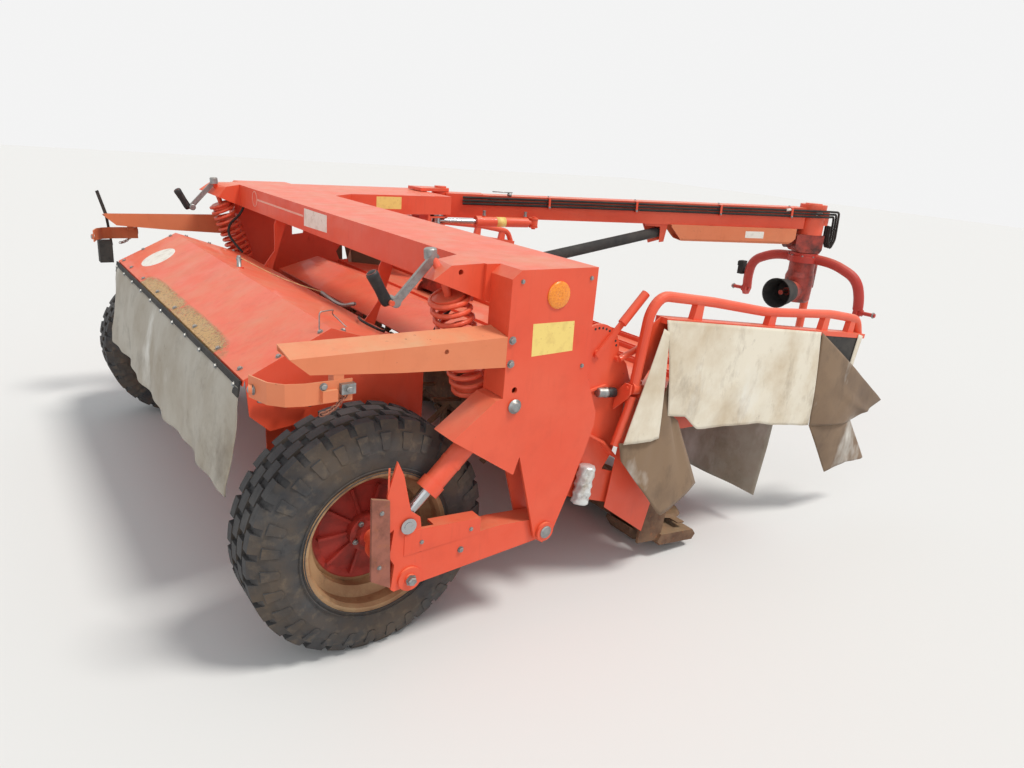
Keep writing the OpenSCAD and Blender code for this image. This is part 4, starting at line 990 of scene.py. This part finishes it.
def hanging(name, node, y_half, profile, cols, rows, sway, place):
    """A curtain across the machine: a profile of (x, z) rows hung along y with soft folds."""
    drop = [Vector((x, 0, z)) for x, z in profile]
    grid = []
    for r in range(rows + 1):
        v = r / rows
        p = along(drop, v)
        row = []
        for c in range(cols + 1):
            u = c / cols
            y = -y_half + 2 * y_half * u
            lift = 6 * v * math.sin(9 * u + 1.0)
            row.append(place(p.x + sway(u, v), y, p.z + lift))
        grid.append(row)
    sheet = cloth(name, grid, "frame", grey_canvas, grey_canvas)
    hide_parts(node)
    return sheet, 2 * y_half / 1000, route_length(drop) / 1000


def rear_sway(u, v):
    folds = 9 * math.sin(24 * u + 2 * v) + 6 * math.sin(55 * u - 3 * v) + 4 * math.sin(9 * u)
    ends = 26 * (math.exp(-u / 0.05) + math.exp(-(1 - u) / 0.05)) * math.sin(math.pi * min(1.0, v * 1.1))
    return v * folds * 0.9 + ends


def front_sway(u, v):
    return v * (5 * math.sin(31 * u + v) + 3 * math.sin(67 * u - 2 * v))


REAR_PROFILE = ((-694, 900), (-717, 831), (-741, 701), (-754, 526))
rear, rear_w, rear_l = hanging("rear_canvas_cloth", "rear_canvas", HOOD_HALF - 6,
                               REAR_PROFILE, 150, 30, rear_sway, at)
NOSE_PROFILE = ((ROOF_L + 27, -20), (ROOF_L + 41, -300), (ROOF_L + 36, -554))
nose, nose_w, nose_l = hanging("front_curtain_cloth", "front_curtain", SIDE_Y - 2,
                               NOSE_PROFILE, 140, 22, front_sway, on_unit)

# Hitch: black block on one arm, link pins' collars, swivel bolts and the spline inside the bell.
SWIVEL_BOLTS_R = 104
BELL_BOLTS_R = 62
INPUT_Z = 790
hitch_dark = Trim("hitch_block", "hitch", black_plastic, "black_plastic")
across_hitch = on_swivel(0, 1, 0) - on_swivel(0, 0, 0)
ahead_hitch = on_swivel(1, 0, 0) - on_swivel(0, 0, 0)
hitch_dark.slab(on_swivel(-40, -506, 872), ahead_hitch, Z, (58, 104, 44))
hitch_dark.slab(on_swivel(-40, -530, 900), ahead_hitch, Z, (40, 34, 20))
hitch_dark.done()
hitch_zinc = Trim("hitch_fasteners", "hitch", steel, "steel")
for s in (-1, 1):
    hitch_zinc.turned(on_swivel(-68.8, s * 562, 706), across_hitch * s,
                      [(0, 15), (0.1, 21), (9, 21), (9.1, 14.6)], 20)
for k in range(8):
    a = math.radians(45 * k + 20)
    hitch_zinc.bolt(on_swivel(SWIVEL_BOLTS_R * math.cos(a), SWIVEL_BOLTS_R * math.sin(a), 1050), Z, 7)
for k in range(6):
    a = math.radians(60 * k)
    face_point = on_swivel(150.4, BELL_BOLTS_R * math.cos(a), INPUT_Z + BELL_BOLTS_R * math.sin(a))
    hitch_zinc.bolt(face_point, ahead_hitch, 5)
hitch_zinc.done()
spline_bar = Trim("input_spline", "hitch", steel, "bare_steel", smooth=False)
for k in range(6):
    a = math.radians(60 * k)
    out_way = across_hitch.normalized() * math.cos(a) + Z * math.sin(a)
    turn_way = ahead_hitch.normalized().cross(out_way)
    spline_bar.slab(on_swivel(215, 0, INPUT_Z) + out_way * 0.0168, ahead_hitch, turn_way, (88, 8, 2.4))
spline_bar.done()

# Thin hoses at the springs, the same on both sides.
SPRING_HOSE_R = 7.0
for side, tag in ((-1, "near"), (1, "far")):
    loop = [at(20, side * 1196, 1203), at(-8, side * 1202, 1150), at(-60, side * 1214, 1104),
            at(-78, side * 1196, 1050), at(-62, side * 1140, 1004), at(-44, side * 1084, 972),
            at(-34, side * 1070, 958)]
    route = rounded(loop, 0.03, 5)
    hose = wire(f"spring_hose_{tag}", route, SPRING_HOSE_R, "frame")
    hose.data.materials.append(hose_rubber)

# Cord, hook and latch wire of the hood's flap.
string = wire("hood_cord", string_points, 2.0, "frame")
cord_shade = Shade("tan_cord", srgb(206, 176, 128), 0.9)
cord_shade.layer(srgb(140, 110, 76), cord_shade.window(cord_shade.noise(60.0, 5.0), 0.45, 0.7), 0.7)
cord_shade.bump(cord_shade.noise(700.0, 2.0), 0.4, 0.6)
string.data.materials.append(cord_shade.done())

hook_points = [at(-92, -640, 984), at(-130, -720, 1004), at(-150, -790, 1008),
               at(-120, -850, 992), at(-84, -850, 976)]
hook = wire("flap_hook", rounded(hook_points, 0.03, 5), 5.0, "frame")
hook.data.materials.append(black_plastic)
latch_points = [at(-420, -1046, 1062), at(-420, -1046, 1120), at(-360, -1020, 1118),
                at(-340, -960, 1090), at(-300, -990, 1046)]
latch = wire("flap_latch_wire", rounded(latch_points, 0.012, 4), 2.2, "frame")
latch.data.materials.append(steel)

# Crumpled white sleeves by the legs.
foil_shade = Shade("white_sleeve", srgb(214, 216, 214), 0.35, metal=0.3)
# The dark grey marks are painted shadows of grass on the sleeve.
foil_shade.layer(srgb(90, 88, 82), foil_shade.window(foil_shade.noise(24.0, 7.0, 0.7), 0.5, 0.66), 0.7)
foil_shade.layer(srgb(176, 150, 110), foil_shade.window(foil_shade.noise(11.0, 6.0), 0.52, 0.7), 0.6)
foil_shade.bump(foil_shade.noise(30.0, 6.0), 5.0, 0.7)
white_sleeve = foil_shade.done()
SLEEVE_R = 33
for side, tag in ((-1, "near"), (1, "far")):
    sleeve = Trim(f"leg_sleeve_{tag}", "frame", white_sleeve, "canvas", smooth=True)
    rows = [(0, 0), (1, 24), (5, SLEEVE_R)]
    for k in range(15):
        rows.append((8 + 10 * k, SLEEVE_R + 3.4 * math.sin(1.9 * k) + 2.2 * math.sin(4.3 * k + 1)))
    rows += [(156, 28), (158, 0)]
    sleeve.turned(at(468, side * 1441, 398), Vector((0.12, 0, 1)), rows, 28)
    piece = sleeve.done()
    for v in piece.data.vertices:
        dent = 2.2 * math.sin(v.co.z * 130 + v.co.x * 210) + 1.8 * math.sin(v.co.y * 260 + v.co.z * 70)
        v.co.x += dent / 1000

# Floor, backdrop and lights.
FLOOR_SIZE = 60.0
floor_mesh = bpy.data.meshes.new("floor")
half = FLOOR_SIZE / 2
floor_corners = [(-half, -half, 0), (half, -half, 0), (half, half, 0), (-half, half, 0)]
floor_mesh.from_pydata(floor_corners, [], [(0, 1, 2, 3)])
floor = link("floor", floor_mesh)
floor_mat = bpy.data.materials.new("floor_pale")
floor_mat.use_nodes = True
tree = floor_mat.node_tree
floor_shader = tree.nodes["Principled BSDF"]
floor_shader.inputs["Base Color"].default_value = (0.72, 0.72, 0.71, 1.0)
floor_shader.inputs["Roughness"].default_value = 0.95
floor_shader.inputs["Specular IOR Level"].default_value = 0.1
floor_mesh.materials.append(floor_mat)

world = bpy.data.worlds.new("world")
bpy.context.scene.world = world
world.use_nodes = True
tree = world.node_tree
tree.nodes.clear()
out = tree.nodes.new("ShaderNodeOutputWorld")
lit = tree.nodes.new("ShaderNodeBackground")
lit.inputs["Color"].default_value = (0.95, 0.97, 1.0, 1.0)
lit.inputs["Strength"].default_value = 0.55
seen = tree.nodes.new("ShaderNodeBackground")
seen.inputs["Color"].default_value = (0.9, 0.9, 0.9, 1.0)
seen.inputs["Strength"].default_value = 1.0
path_node = tree.nodes.new("ShaderNodeLightPath")
most = tree.nodes.new("ShaderNodeMath")
most.operation = "MAXIMUM"
more = tree.nodes.new("ShaderNodeMath")
more.operation = "MAXIMUM"
mixer = tree.nodes.new("ShaderNodeMixShader")
tree.links.new(path_node.outputs["Is Camera Ray"], most.inputs[0])
tree.links.new(path_node.outputs["Is Glossy Ray"], most.inputs[1])
tree.links.new(most.outputs[0], more.inputs[0])
tree.links.new(path_node.outputs["Is Transmission Ray"], more.inputs[1])
tree.links.new(more.outputs[0], mixer.inputs[0])
tree.links.new(lit.outputs[0], mixer.inputs[1])
tree.links.new(seen.outputs[0], mixer.inputs[2])
tree.links.new(mixer.outputs[0], out.inputs[0])

SUN_FROM = Vector((0.35, -0.45, 1.0))
sun_data = bpy.data.lights.new("sun", "SUN")
sun_data.energy = 2.3
sun_data.angle = math.radians(14)
sun_data.color = (1.0, 0.97, 0.92)
sun = link("sun", sun_data)
sun.rotation_euler = SUN_FROM.to_track_quat("Z", "Y").to_euler()
fill_data = bpy.data.lights.new("fill", "SUN")
fill_data.energy = 0.5
fill_data.angle = math.radians(60)
fill = link("fill", fill_data)
fill.rotation_euler = Vector((-0.8, -0.7, 0.5)).to_track_quat("Z", "Y").to_euler()
bpy.context.scene.view_settings.view_transform = "Standard"
